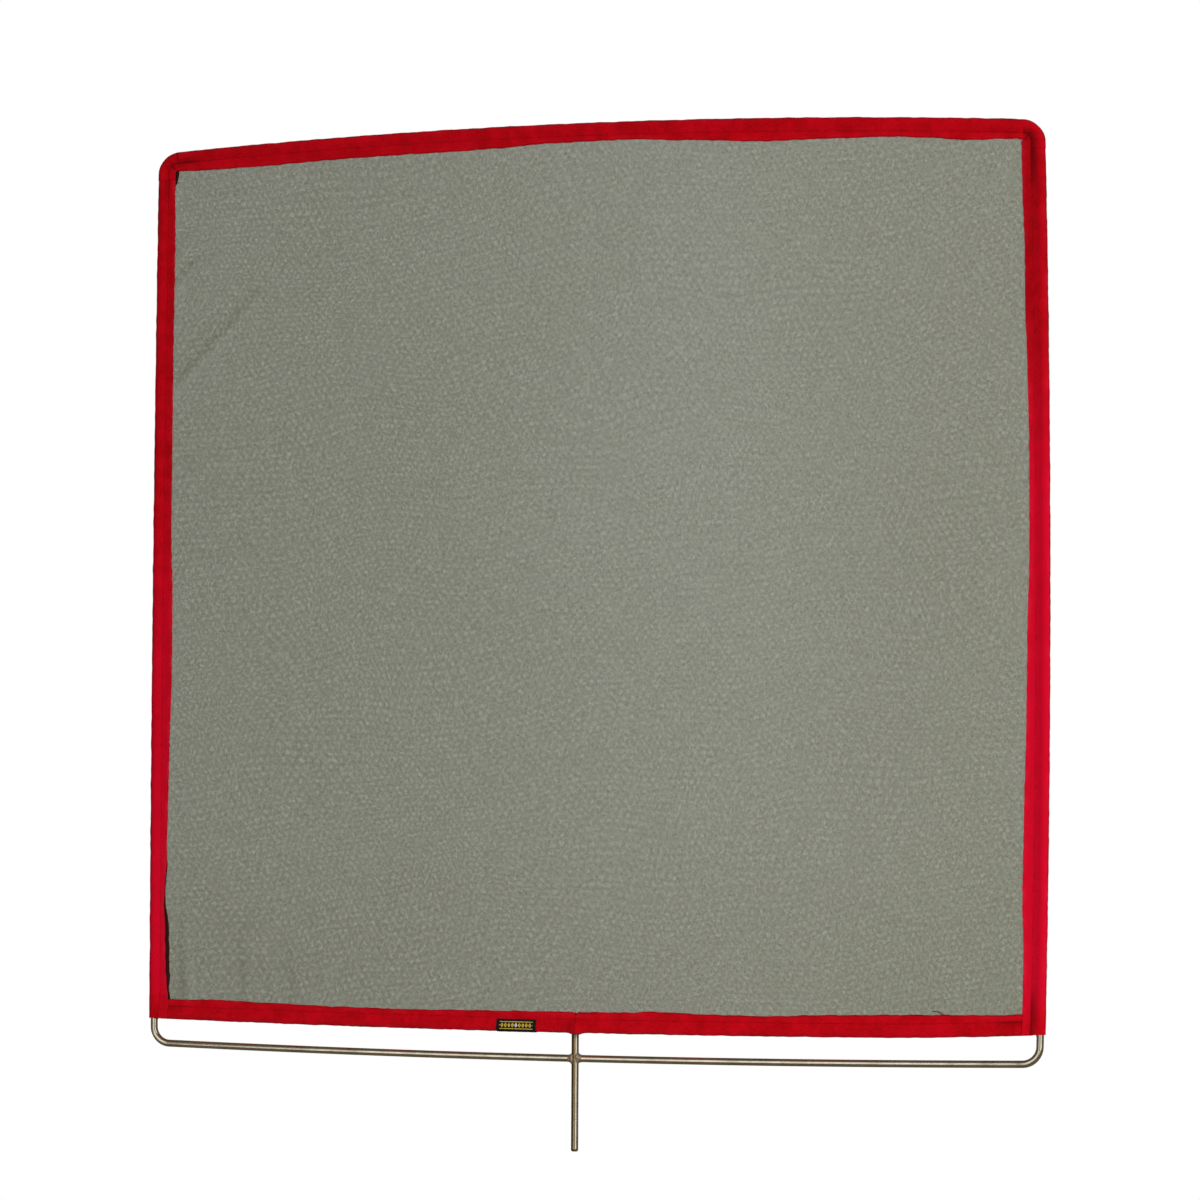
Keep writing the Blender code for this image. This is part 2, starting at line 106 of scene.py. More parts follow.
# How far each layer of net lies from the middle plane, and how thick it is.
NET_GAP = 0.00035
NET_THICKNESS = 0.00022


def bowed(u, w):
    """Place a point of the plain rectangle in the frame, whose sides bow outward."""
    up = w / LOOP_HEIGHT
    right = 0.5 * (1 + u / HALF_WIDTH)
    across = 1 - (u / HALF_WIDTH) ** 2
    along = 1 - (2 * up - 1) ** 2
    x = MIDDLE_X + u + along * (RIGHT_BOW * right - LEFT_BOW * (1 - right))
    z = BAR_Z + w + across * (TOP_BOW * up - BOTTOM_BOW * (1 - up))
    return x, z


def crossbar_rise(u):
    """The crossbar's height above the bottom bar. Its right end is welded on a little higher."""
    return CROSSBAR_RISE + CROSSBAR_LIFT * np.clip((u - 0.41) / 0.19, 0, 1) ** 1.5


def inset_at(offset):
    """How far the centre of a corner's bend lies inside the rod, and the bend's radius there."""
    radius = np.maximum(BEND_RADIUS - offset, CORNER_FOLD_RADIUS)
    return offset + radius, radius


def corner(side, level, turn, offset):
    inset, radius = inset_at(offset)
    u = side * (HALF_WIDTH - inset + radius * np.cos(turn))
    middle = np.where(level > 0, LOOP_HEIGHT - inset, inset)
    return u, middle + level * radius * np.sin(turn)


def drift(places, seed, wavelength):
    """A slow random variation along a line, mostly between -1 and 1."""
    rng = np.random.default_rng(seed)
    waves = 5
    total = 0.0
    for _ in range(waves):
        scale = wavelength * rng.uniform(0.6, 1.7)
        total = total + np.sin(2 * np.pi * (places / scale + rng.random()))
    return total / math.sqrt(2 * waves) * 1.2


def ripples(s, a, seed, wavelength, slant):
    """Random ripples that run across a tape, each slanted a little its own way."""
    rng = np.random.default_rng(seed)
    waves = 7
    total = 0.0
    for _ in range(waves):
        scale = wavelength * rng.uniform(0.5, 1.8)
        lean = rng.uniform(-slant, slant)
        total = total + np.sin(2 * np.pi * ((s + lean * a) / scale + rng.random()))
    return total / math.sqrt(2 * waves) * 1.2


def eased(places, knots):
    """A value along a line, eased from each (place, value) knot to the next."""
    x, y = np.array(knots, dtype=float).T
    index = np.clip(np.searchsorted(x, places) - 1, 0, len(x) - 2)
    share = np.clip((places - x[index]) / (x[index + 1] - x[index]), 0, 1)
    share = share * share * (3 - 2 * share)
    return y[index] + (y[index + 1] - y[index]) * share


def near(distance, reach):
    return np.exp(-((distance / reach) ** 2))


def ramp(value, start, end):
    share = np.clip((value - start) / (end - start), 0, 1)
    return share * share * (3 - 2 * share)


def unit(vectors):
    return vectors / np.linalg.norm(vectors, axis=-1, keepdims=True)


def grid_faces(rows, columns, wrap=False):
    """Quads of a grid of points stored row by row. wrap closes each row into a ring."""
    row = np.arange(rows - 1)[:, None]
    column = np.arange(columns if wrap else columns - 1)[None, :]
    a = row * columns + column
    b = row * columns + (column + 1) % columns
    return np.stack([a, b, b + columns, a + columns], axis=-1).reshape(-1, 4).tolist()


def sheet_faces(rows, width):
    """The faces of a closed thin sheet, each of whose rows goes round both of its sides."""
    faces = grid_faces(rows, width, wrap=True)
    for first in (0, (rows - 1) * width):
        faces += [[first + c, first + c + 1, first + width - 2 - c, first + width - 1 - c]
                  for c in range(width // 2 - 1)]
    return faces


def tube_faces(rows, sides):
    """The wall and the two ends of a closed tube."""
    last = (rows - 1) * sides
    ends = [list(range(sides))[::-1], [last + k for k in range(sides)]]
    return grid_faces(rows, sides, wrap=True) + ends


def tube_shape(path, radius, sides):
    """Points and faces of a closed tube of round section along a path of points."""
    path = np.asarray(path, dtype=float)
    across = np.array([0.0, 1.0, 0.0])
    other = unit(np.cross(np.gradient(path, axis=0), across))
    turns = 2 * np.pi * np.arange(sides)[:, None] / sides
    ring = np.cos(turns) * across + np.sin(turns) * other[:, None]
    points = path[:, None] + ring * np.broadcast_to(radius, len(path))[:, None, None]
    return points, tube_faces(len(path), sides)


def new_piece(name, points, faces, uv=None, marks=None, turn_out=True):
    """A smooth mesh on the frame's body, with UVs in metres and marks as point attributes."""
    mesh = bpy.data.meshes.new(name)
    mesh.from_pydata(points.reshape(-1, 3).tolist(), [], faces)
    if uv is not None:
        layer = mesh.uv_layers.new(name="metres")
        corners = np.zeros(len(mesh.loops), dtype=np.int32)
        mesh.loops.foreach_get("vertex_index", corners)
        layer.data.foreach_set("uv", uv[corners].astype(np.float32).ravel())
    for mark, values in (marks or {}).items():
        attribute = mesh.attributes.new(mark, "FLOAT", "POINT")
        attribute.data.foreach_set("value", values.astype(np.float32).ravel())
    if turn_out:
        shape = bmesh.new()
        shape.from_mesh(mesh)
        bmesh.ops.recalc_face_normals(shape, faces=shape.faces)
        shape.to_mesh(mesh)
        shape.free()
    mesh.shade_smooth()
    item = bpy.data.objects.new(name, mesh)
    bpy.context.scene.collection.objects.link(item)
    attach(item, "root")
    return item


# Nodes.


class Nodes:
    """The node tree of a new material or world, with short calls for the nodes used here."""

    def __init__(self, owner, shader="Principled BSDF"):
        owner.use_nodes = True
        self.owner = owner
        self.tree = owner.node_tree
        self.shader = self.tree.nodes[shader]

    def add(self, kind, **settings):
        node = self.tree.nodes.new(kind)
        for key, value in settings.items():
            setattr(node, key, value)
        return node

    def put(self, socket, value):
        if isinstance(value, bpy.types.NodeSocket):
            self.tree.links.new(value, socket)
        else:
            socket.default_value = value

    def fill(self, node, values):
        for socket, value in zip(node.inputs, values):
            self.put(socket, value)
        return node.outputs

    def math(self, operation, *values):
        return self.fill(self.add("ShaderNodeMath", operation=operation), values)[0]

    def plus(self, first, second):
        return self.math("ADD", first, second)

    def minus(self, first, second):
        return self.math("SUBTRACT", first, second)

    def times(self, first, second):
        return self.math("MULTIPLY", first, second)

    def wave(self, value, length):
        """A sine of the given wavelength."""
        return self.math("SINE", self.times(value, 2 * math.pi / length))

    def size(self, value):
        return self.math("ABSOLUTE", value)

    def vector(self, operation, *values, output=0):
        return self.fill(self.add("ShaderNodeVectorMath", operation=operation), values)[output]

    def scaled(self, vector, factors):
        return self.vector("MULTIPLY", vector, factors)

    def parts(self, vector):
        return self.fill(self.add("ShaderNodeSeparateXYZ"), [vector])[:]

    def mark(self, name):
        return self.add("ShaderNodeAttribute", attribute_name=name).outputs["Fac"]

    def uv(self):
        return self.add("ShaderNodeUVMap", uv_map="metres").outputs[0]

    def place(self):
        return self.add("ShaderNodeTexCoord").outputs["Object"]

    def noise(self, vector, scale, detail, roughness=0.5, output="Fac"):
        node = self.add("ShaderNodeTexNoise")
        self.set(node, Vector=vector, Scale=scale, Detail=detail, Roughness=roughness)
        return node.outputs[output]

    def shake(self, place, start, scale, reach):
        """Move a place by up to half of reach, by a noise that varies from point to point."""
        noise = self.noise(start, scale, 1.0, output="Color")
        centred = self.vector("SUBTRACT", noise, (0.5, 0.5, 0.5))
        return self.vector("ADD", place, self.scaled(centred, (reach, reach, 0.0)))

    def between(self, value, low, high, start=0.0, end=1.0):
        node = self.add("ShaderNodeMapRange", interpolation_type="SMOOTHSTEP")
        return self.fill(node, (value, low, high, start, end))[0]

    def mix(self, factor, first, second):
        node = self.add("ShaderNodeMix", data_type="RGBA")
        for index, value in ((0, factor), (6, first), (7, second)):
            self.put(node.inputs[index], (*value, 1) if isinstance(value, tuple) else value)
        return node.outputs[2]

    def bump(self, height, distance, strength):
        node = self.add("ShaderNodeBump")
        self.set(node, Strength=strength, Distance=distance, Height=height)
        self.set(self.shader, Normal=node.outputs[0])

    def shown(self):
        """1 where the white backdrop is seen directly, by reflection or through something."""
        path = self.add("ShaderNodeLightPath").outputs
        seen = self.math("MAXIMUM", path["Is Camera Ray"], path["Is Glossy Ray"])
        return self.math("MAXIMUM", seen, path["Is Transmission Ray"])

    def set(self, node, **inputs):
        for key, value in inputs.items():
            self.put(node.inputs[key.replace("_", " ")], value)

    def finish(self, **inputs):
        self.set(self.shader, **inputs)
        return self.owner


def material(name):
    return Nodes(bpy.data.materials.new(name))


def paint(item, look):
    item.data.materials.clear()
    item.data.materials.append(look)


def dress(item, look, slot, *nodes):
    """Give a piece its material, and let it stand for CAD nodes, which it hides. The slot is not
    used.
    """
    paint(item, look)
    if nodes:
        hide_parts(*nodes)
    return item


# Materials.

# The tape's herringbone weave.
CHEVRON_WIDTH = 0.0040
TWILL_PITCH = 0.00095
RIB_PITCH = 0.00062
# The net's lattice: the spacing of its rows, where a sum of three waves goes from thread to
# hole, and how much light each of the two lets through.
NET_WAVE = 0.00108
NET_SHUT = -1.10
NET_OPEN = 0.30
NET_THREAD = 0.185
NET_HOLE = 0.655
# The label's row of lozenges between two bands. The middle is measured from its front end.
LABEL_MIDDLE = 0.0085
LOZENGE_PITCH = 0.0048
BAND_RISE = 0.0045
BAND_HALF = 0.00045


def red_tape():
    """Twill tape of cotton: herringbone weave, with painted shade along its seams, in its corner
    folds, on its ridge and inside, and worn pale with painted sheen at its edges and on its ridge.
    """
    n = material("red_tape")
    along, across, _ = n.parts(n.uv())
    chevron = n.math("PINGPONG", across, CHEVRON_WIDTH)
    twill = n.wave(n.plus(along, chevron), TWILL_PITCH)
    rib = n.wave(across, RIB_PITCH)
    weave = n.plus(n.times(twill, 0.5), n.times(rib, 0.22))
    pulled = n.times(n.times(n.wave(along, STITCH_PITCH), n.mark("pulled")), 1.3)
    creases = n.noise(n.scaled(n.uv(), (1.0, 0.45, 1.0)), 160.0, 4.0, 0.6)
    height = n.plus(n.plus(weave, pulled), n.times(creases, 2.2))
    streaks = n.noise(n.scaled(n.uv(), (0.35, 2.2, 1.0)), 420.0, 3.0, 0.6)
    patches = n.noise(n.uv(), 38.0, 3.0, 0.55)
    tone = n.plus(n.times(streaks, 0.55), n.times(patches, 0.55))
    base = n.mix(n.between(tone, 0.36, 0.70), (0.345, 0.0006, 0.0026), (0.540, 0.0016, 0.0085))
    rubbed = n.times(n.mark("rubbed"), n.between(patches, 0.35, 0.75, 0.25, 1.0))
    # Paler and pinker lower down on the side tapes.
    base = n.mix(n.times(n.mark("faded"), 0.75), base, (0.620, 0.0022, 0.0230))
    # Worn paler at the edges, with painted sheen there and on the ridge.
    base = n.mix(rubbed, base, (0.680, 0.0200, 0.0480))
    # Painted shade along the seams and in the corner folds.
    base = n.mix(n.times(n.mark("sewn"), 0.80), base, (0.110, 0.0004, 0.0010))
    base = n.mix(n.times(n.mark("shaded"), 0.75), base, (0.060, 0.0006, 0.0010))
    n.bump(height, 0.00013, 0.8)
    return n.finish(Base_Color=base, Roughness=0.92, Specular_IOR_Level=0.03, Sheen_Weight=0.03,
                    Sheen_Roughness=0.6, Sheen_Tint=(1.0, 0.25, 0.30, 1.0))


def red_thread():
    n = material("red_thread")
    ply = n.noise(n.place(), 2600.0, 2.0)
    tone = n.noise(n.place(), 45.0, 2.0)
    base = n.mix(n.between(ply, 0.35, 0.65), (0.230, 0.0009, 0.0030), (0.420, 0.0014, 0.0060))
    base = n.mix(n.between(tone, 0.4, 0.7, 0.0, 0.4), base, (0.330, 0.0030, 0.0090))
    n.bump(ply, 0.00008, 0.7)
    return n.finish(Base_Color=base, Roughness=0.6, Specular_IOR_Level=0.15)


def net_cloth(name, angle, stretch, warp_seed):
    """Bobbinet: a lattice of round holes between fine twisted threads."""
    n = material(name)
    uv = n.uv()
    place = n.shake(uv, n.vector("ADD", uv, (warp_seed, 0.7 * warp_seed, 0.0)), 3.2, 0.011)
    place = n.shake(place, n.vector("ADD", uv, (0.3 * warp_seed, warp_seed, 0.0)), 270.0, 0.0015)
    total = None
    for k in range(3):
        turn = math.radians(angle + 60 * k)
        wave = 2 * math.pi / NET_WAVE * stretch
        direction = (wave * math.cos(turn), wave * math.sin(turn), 0.0)
        one = n.math("COSINE", n.vector("DOT_PRODUCT", place, direction, output=1))
        total = one if total is None else n.plus(total, one)
    slubs = n.noise(n.scaled(uv, (1.0, 0.30, 1.0)), 640.0, 2.0, 0.7)
    total = n.plus(total, n.times(n.minus(slubs, 0.5), 1.9))
    slow = n.noise(uv, 5.0, 3.0, 0.55)
    shift = n.times(n.minus(slow, 0.5), 0.12)
    total = n.minus(n.plus(total, shift), n.mark("gather"))
    hole = n.between(total, NET_SHUT, NET_OPEN, NET_THREAD, NET_HOLE)
    thread = n.minus(1.0, hole)
    front = n.minus(1.0, n.add("ShaderNodeNewGeometry").outputs["Backfacing"])
    twist = n.noise(uv, 1500.0, 2.0, 0.6)
    base = n.mix(n.between(twist, 0.3, 0.7), (0.044, 0.048, 0.010), (0.070, 0.076, 0.022))
    return n.finish(Base_Color=base, Alpha=n.times(thread, front), Roughness=0.85,
                    Specular_IOR_Level=0.1)


def dark_strands_and_shadow():
    """Dark strands in several layers, which let almost no light through: the doubled net beside the
    left tape, also painted shadow under the tape's edge with a painted red tint of light from the
    tape; and the loose thread.
    """
    n = material("dark_strands_and_shadow")
    strands = n.noise(n.scaled(n.place(), (1.0, 1.0, 0.4)), 1400.0, 3.0, 0.6)
    base = n.mix(n.between(strands, 0.35, 0.65), (0.010, 0.0022, 0.0018), (0.030, 0.0080, 0.0065))
    n.bump(strands, 0.0003, 0.8)
    return n.finish(Base_Color=base, Roughness=0.9, Specular_IOR_Level=0.05)


def rod_steel():
    """Plated steel gone warm, with fine drawn lines, finger marks and small rub marks."""
    n = material("rod_steel")
    place = n.place()
    lines = n.noise(n.scaled(place, (0.03, 1.0, 1.0)), 2400.0, 2.0, 0.6)
    smears = n.noise(place, 55.0, 4.0, 0.6)
    spots = n.noise(place, 420.0, 3.0, 0.55)
    base = n.mix(n.between(smears, 0.35, 0.7), (0.83, 0.76, 0.62), (0.67, 0.59, 0.45))
    base = n.mix(n.between(spots, 0.66, 0.80, 0.0, 0.6), base, (0.34, 0.25, 0.16))
    rough = n.between(n.plus(n.times(smears, 0.7), n.times(lines, 0.3)), 0.3, 0.7, 0.12, 0.24)
    n.bump(n.plus(lines, n.times(spots, 0.8)), 0.00004, 0.35)
    return n.finish(Base_Color=base, Metallic=1.0, Roughness=rough)


def pin_steel():
    """The pin's steel: as the rod, but scraped bright in rings where it has been clamped."""
    n = material("pin_steel")
    place = n.place()
    lines = n.noise(n.scaled(place, (1.0, 1.0, 0.03)), 2200.0, 2.0, 0.6)
    smears = n.noise(place, 70.0, 4.0, 0.6)
    rings = n.noise(n.scaled(place, (0.12, 0.12, 1.0)), 900.0, 3.0, 0.65)
    beside, _, height = n.parts(place)
    grip = n.times(n.between(height, -0.034, -0.022), n.between(height, 0.034, 0.022))
    scraped = n.times(grip, n.between(rings, 0.50, 0.62))
    base = n.mix(n.between(smears, 0.35, 0.7), (0.82, 0.73, 0.59), (0.64, 0.54, 0.41))
    base = n.mix(scraped, base, (0.88, 0.84, 0.78))
    # Painted shade: the pin's left side is darkened, standing in for the dark reflection there.
    left_side_shade = n.between(beside, 0.0024, 0.0004, 0.0, 0.90)
    base = n.mix(left_side_shade, base, (0.27, 0.18, 0.070))
    # Painted shade on the pin's top, just under the hem.
    under_hem_shade = n.between(height, 0.084, 0.094, 0.0, 0.85)
    base = n.mix(under_hem_shade, base, (0.11, 0.075, 0.042))
    rough = n.between(n.plus(smears, n.times(scraped, 0.35)), 0.3, 0.9, 0.08, 0.24)
    n.bump(n.plus(lines, n.times(scraped, -1.5)), 0.00005, 0.4)
    return n.finish(Base_Color=base, Metallic=1.0, Roughness=rough)


def bronze_weld():
    """Brazed joint: brownish metal, scaly, with darker heat stain."""
    n = material("bronze_weld")
    place = n.place()
    scale = n.noise(place, 700.0, 4.0, 0.65)
    stain = n.noise(place, 190.0, 3.0, 0.55)
    base = n.mix(n.between(stain, 0.35, 0.68), (0.72, 0.56, 0.42), (0.38, 0.27, 0.19))
    base = n.mix(n.between(scale, 0.60, 0.74, 0.0, 0.7), base, (0.12, 0.08, 0.06))
    n.bump(scale, 0.0003, 0.6)
    rough = n.between(scale, 0.3, 0.7, 0.32, 0.6)
    return n.finish(Base_Color=base, Metallic=0.9, Roughness=rough)


def woven_label():
    """Satin label: black ground with gold bands and a row of lozenges, one of them grey."""
    n = material("woven_label")
    u, v, _ = n.parts(n.uv())
    gold, grey, black = (0.50, 0.33, 0.045), (0.55, 0.55, 0.53), (0.004, 0.004, 0.004)

    def within(value, half):
        return n.math("LESS_THAN", value, half)

    def band(level):
        return within(n.size(n.minus(v, level)), BAND_HALF)

    half_pitch = LOZENGE_PITCH / 2
    cell = n.minus(n.math("PINGPONG", n.plus(u, half_pitch), LOZENGE_PITCH), half_pitch)
    reach = n.plus(n.times(n.size(cell), 1.45), n.size(n.minus(v, LABEL_MIDDLE)))
    lozenge = within(reach, 0.0029)
    inner = within(reach, 0.0012)
    inside = within(n.size(u), LABEL_WIDTH / 2 - 0.0045)
    centre = within(n.size(u), LOZENGE_PITCH * 0.75)
    weave = n.times(n.wave(u, 0.00040), n.wave(v, 0.00028))
    base = n.mix(n.times(lozenge, inside), black, n.mix(centre, gold, grey))
    base = n.mix(n.times(inner, inside), base, black)
    bands = n.math("MAXIMUM", band(LABEL_MIDDLE - BAND_RISE), band(LABEL_MIDDLE + BAND_RISE))
    base = n.mix(n.times(bands, inside), base, gold)
    mottle = n.noise(n.uv(), 900.0, 3.0, 0.6)
    base = n.mix(n.between(mottle, 0.4, 0.75, 0.0, 0.35), base, (0.022, 0.018, 0.012))
    n.bump(n.plus(weave, n.times(mottle, 1.5)), 0.00008, 0.7)
    return n.finish(Base_Color=base, Roughness=0.6, Specular_IOR_Level=0.2)


# Tape.

FLANGE_COLUMNS = 9
WEB_COLUMNS = 7
ARC_COLUMNS = 13


def teardrop(radius, offset, height):
    return np.arctan2(height, offset) + np.arccos(radius / np.hypot(offset, height))


def tape_profile(radius, seam, height, edge_front, edge_back):
    """The outer face of a folded tape as offsets and y, a row of points per place along it."""
    start = teardrop(radius, seam, height)
    flange = 0.5 - 0.5 * np.cos(np.pi * np.arange(FLANGE_COLUMNS) / FLANGE_COLUMNS)
    web = 1 - np.cos(0.5 * np.pi * np.arange(WEB_COLUMNS) / WEB_COLUMNS)
    arc = np.linspace(0, 1, ARC_COLUMNS)
    col = (slice(None), None)
    turns = start[col] + (2 * np.pi - 2 * start[col]) * arc
    tangent, side_y = radius * np.cos(start), radius * np.sin(start)
    web_d = seam[col] + (tangent - seam)[col] * web
    web_y = height[col] + (side_y - height)[col] * web
    flange_y = height[col] + 0 * flange
    front_d = edge_front[col] + (seam - edge_front)[col] * flange
    back_d = edge_back[col] + (seam - edge_back)[col] * flange
    d = [front_d, web_d, radius[col] * np.cos(turns), web_d[:, ::-1], back_d[:, ::-1]]
    y = [-flange_y, -web_y, -radius[col] * np.sin(turns), web_y[:, ::-1], flange_y]
    return np.concatenate(d, axis=1), np.concatenate(y, axis=1)


SEAM_FRONT = FLANGE_COLUMNS
SEAM_BACK = FLANGE_COLUMNS + 2 * WEB_COLUMNS + ARC_COLUMNS - 1


def across_normals(d, y):
    """Outward normals of profiles that run from the front edge round to the back one."""
    along_d, along_y = np.gradient(d, axis=1), np.gradient(y, axis=1)
    length = np.hypot(along_d, along_y)
    return along_y / length, -along_d / length


class Tape:
    """One tape folded over a rod. The rows' places come from lay(offset), s runs along it."""

    # deep says how far the seam sinks in, and how much painted shade lies along and beside it.
    def __init__(self, name, s, lay, edges, seed, calm, pocket, deep, seam=SEAM_OFFSET, lift=0.0,
                 flange=FLANGE_Y, notch=None, faded=0.0):
        self.name, self.s, self.seed = name, s, seed
        self.rows, self.deep = s[:, None], deep[:, None]
        zero = np.zeros_like(s)
        height = flange + TAPE_THICKNESS + lift
        d, y = tape_profile(pocket + TAPE_THICKNESS + lift, seam + zero, height + zero, *edges)
        steps = np.hypot(np.diff(d, axis=1), np.diff(y, axis=1))
        a = np.concatenate([zero[:, None], np.cumsum(steps, axis=1)], axis=1)
        self.total = a[:, -1:]
        self.front_seam, self.back_seam = a[:, [SEAM_FRONT]], a[:, [SEAM_BACK]]
        swell = self.swell(a, calm[:, None])
        if notch is not None:
            swell = swell + notch(a, self.front_seam)
        normal_d, normal_y = across_normals(d, y)
        outer_d, outer_y = d + normal_d * swell, y + normal_y * swell
        inner_d, inner_y = outer_d - normal_d * CLOTH, outer_y - normal_y * CLOTH
        rim_d, rim_y = (outer_d + inner_d) / 2 + RIM_BULGE, (outer_y + inner_y) / 2
        ring_d = np.concatenate([outer_d, rim_d[:, -1:], inner_d[:, ::-1], rim_d[:, :1]], axis=1)
        ring_y = np.concatenate([outer_y, rim_y[:, -1:], inner_y[:, ::-1], rim_y[:, :1]], axis=1)
        ring_a = np.concatenate([a, self.total, a[:, ::-1], a[:, :1]], axis=1)
        self.d, self.a = ring_d, ring_a
        self.marks = self.wear_and_shade(ring_y, a.shape[1])
        self.marks["faded"] = (faded + zero)[:, None] + 0 * ring_a
        x, z = bowed(*lay(ring_d))
        points = np.stack([x, ring_y, z], axis=-1)
        uv = np.stack([np.broadcast_to(self.rows, ring_a.shape), ring_a - self.front_seam], axis=-1)
        self.shape = (points, self.faces(*ring_d.shape), uv.reshape(-1, 2))
        self.lines = (("front", points[:, SEAM_FRONT], -1), ("back", points[:, SEAM_BACK], 1))

    def from_seam(self, a):
        return np.minimum(np.abs(a - self.front_seam), np.abs(a - self.back_seam))

    def swell(self, a, keep):
        """How far the outer face stands out, at each place across the tape."""
        rows, seed, total, front_seam = self.rows, self.seed, self.total, self.front_seam
        from_seam, from_edge = self.from_seam(a), np.minimum(a, total - a)
        flange_share = np.clip(from_edge / front_seam, 0, 1)
        on_flange = (a < front_seam) | (a > self.back_seam)
        from_web = np.minimum(a - front_seam, self.back_seam - a)
        in_web = np.clip(from_web / (total / 2 - front_seam), 0, 1)
        arch = 4 * flange_share * (1 - flange_share)
        puff = np.where(on_flange, FLANGE_PUFF * arch, WEB_PUFF * np.sin(np.pi * in_web))
        puff = puff * (1 + 0.6 * drift(rows, seed + 1, 0.05))
        wrinkle = RIPPLES * ripples(rows, a, seed + 2, 0.021, 0.7)
        wrinkle = wrinkle + SWELLS * drift(rows, seed + 3, 0.060) * (~on_flange)
        pucker = PUCKERS * ripples(rows, a, seed + 4, 0.0085, 0.3) * np.exp(-from_seam / 0.0045)
        flutter = FLUTTER * drift(rows, seed + 5, 0.034) * on_flange * (1 - flange_share) ** 2
        valley = (VALLEY + DEEPER_VALLEY * self.deep) * near(from_seam, 0.00085)
        selvage = SELVAGE * near(from_edge - 0.0006, 0.0006)
        loose = (puff + wrinkle + pucker + flutter) * keep
        return loose - valley * (0.35 + 0.65 * keep) + selvage

    def wear_and_shade(self, ring_y, columns):
        """Marks at each point of its rings: painted shade along the seams, pull at the stitches,
        worn paleness with painted sheen at the edges and on the ridge, and painted shade on the
        ridge, inside and beside the seam.
        """
        d, a, deep = self.d, self.a, self.deep
        from_seam, from_edge = self.from_seam(a), np.minimum(a, self.total - a)
        outside = np.abs(np.arctan2(np.abs(ring_y), -d))
        # Worn pale near the edges, and a painted highlight on the ridge.
        rub = 0.55 * near(from_edge - 0.0012, 0.0024) + 0.40 * near(outside - 0.5, 0.45) * (d < 0)
        rub = rub * (0.55 + 0.45 * drift(self.rows, self.seed + 6, 0.045))
        inner_face = np.arange(d.shape[1]) >= columns
        # Painted shade in the broad valley beside the front seam.
        drawn = 0.45 * np.clip(deep - 0.45, 0, 1) * near(a - self.front_seam - 0.0030, 0.0040)
        return {
            # Painted shade along the seams, stronger where the seam is deep.
            "sewn": near(from_seam, 0.00070 + 0.00045 * deep) * deep,
            "pulled": np.exp(-from_seam / 0.0035),
            "rubbed": np.clip(rub, 0, 1),
            "shaded": 0.45 * near(outside, 0.42) * (d < 0) + 0.5 * inner_face + drawn,
        }

    def faces(self, rows, width):
        """Walls and ends of the closed tape. Each ring has a rim point at both of its edges."""
        faces = grid_faces(rows, width, wrap=True)
        columns = width // 2 - 1
        for first in (0, (rows - 1) * width):
            faces += [[first + c, first + c + 1, first + width - 3 - c, first + width - 2 - c]
                      for c in range(columns - 1)]
            faces.append([first + columns - 1, first + columns, first + columns + 1])
            faces.append([first + width - 1, first, first + width - 2])
        return faces

    def darken_rim(self, amount):
        """Paint shade on the front edge where it turns in, and keep the worn paleness and painted
        sheen off it there.
        """
        uneven = 0.75 + 0.25 * drift(self.s, 71, 0.06)
        self.marks["shaded"] += (amount * uneven)[:, None] * near(self.a, 0.0013)
        without_wear_or_sheen = 0.9 * np.clip(2 * amount, 0, 1)[:, None] * near(self.a, 0.0040)
        self.marks["rubbed"] *= 1 - without_wear_or_sheen

    def make(self, start, end):
        """The tape's piece, with stitches from start to end along it, and its flat size."""
        marks = {mark: np.clip(values, 0, 1) for mark, values in self.marks.items()}
        item = new_piece(self.name + "_cloth", *self.shape, marks)
        dress(item, RED, "red_tape", self.name)
        row = self.name.removeprefix("tape_")
        for face, line, side in self.lines:
            stitch_line(row + "_" + face, self.s, line, side, start, end)
        return item, (SHEET_WIDTH, float(self.s[-1]))


def length_along(x, z):
    return np.concatenate([[0.0], np.cumsum(np.hypot(np.diff(x), np.diff(z)))])


def stitch_line(row, s, line, side, start, end):
    """A row of lockstitches laid in the seam's valley, each one dipping into the tape."""
    name = "stitches_" + row
    count = int((end - start) / STITCH_PITCH)
    middles = start + STITCH_PITCH * (np.arange(count) + 0.5)
    steps = np.array([-0.46, -0.30, 0.0, 0.30, 0.46])
    heights = np.array([-0.00034, 0.00010, 0.00020, 0.00010, -0.00034])
    radii = THREAD_RADIUS * np.array([0.75, 1.0, 1.05, 1.0, 0.75])
    rng = np.random.default_rng(len(name) * 7 + side + 3)
    slant = rng.normal(0.0, 0.00006, (count, 1)) + 0.00010 * np.sign(steps)
    places = middles[:, None] + STITCH_PITCH * steps
    centre = np.stack([np.interp(places, s, line[:, k]) for k in range(3)], axis=-1)
    ahead = np.stack([np.interp(places + 0.0005, s, line[:, k]) for k in range(3)], axis=-1)
    out = np.array([0.0, side, 0.0])
    beside = np.cross(unit(ahead - centre), out)
    centre = centre + out * heights[:, None] + beside * slant[..., None]
    turns = QUARTER * (0.5 + np.arange(4)[:, None])
    ring = np.cos(turns) * out + np.sin(turns) * beside[..., None, :]
    points = centre[..., None, :] + ring * radii[:, None, None]
    one = np.array(tube_faces(len(steps), len(turns)))
    faces = (np.arange(count)[:, None, None] * len(steps) * len(turns) + one).reshape(-1, 4)
    dress(new_piece(name, points, faces.tolist()), THREAD, "red_thread", "thread_" + row)


def loose_thread():
    """The cut end of a sewing thread, which lies on the net above the hem."""
    share = np.linspace(0, 1, 14)
    u = 0.4655 + 0.0190 * share
    w = 0.0668 - 0.0030 * share - 0.0040 * share**3 + 0.0008 * np.sin(5 * share)
    x, z = bowed(u, w)
    path = np.stack([x, -0.00125 + 0.0002 * share, z], axis=-1)
    item = new_piece("loose_thread", *tube_shape(path, 0.00055, 4))
    dress(item, DARK_STRANDS_AND_SHADOW, "red_thread", "thread_bottom_right_front")


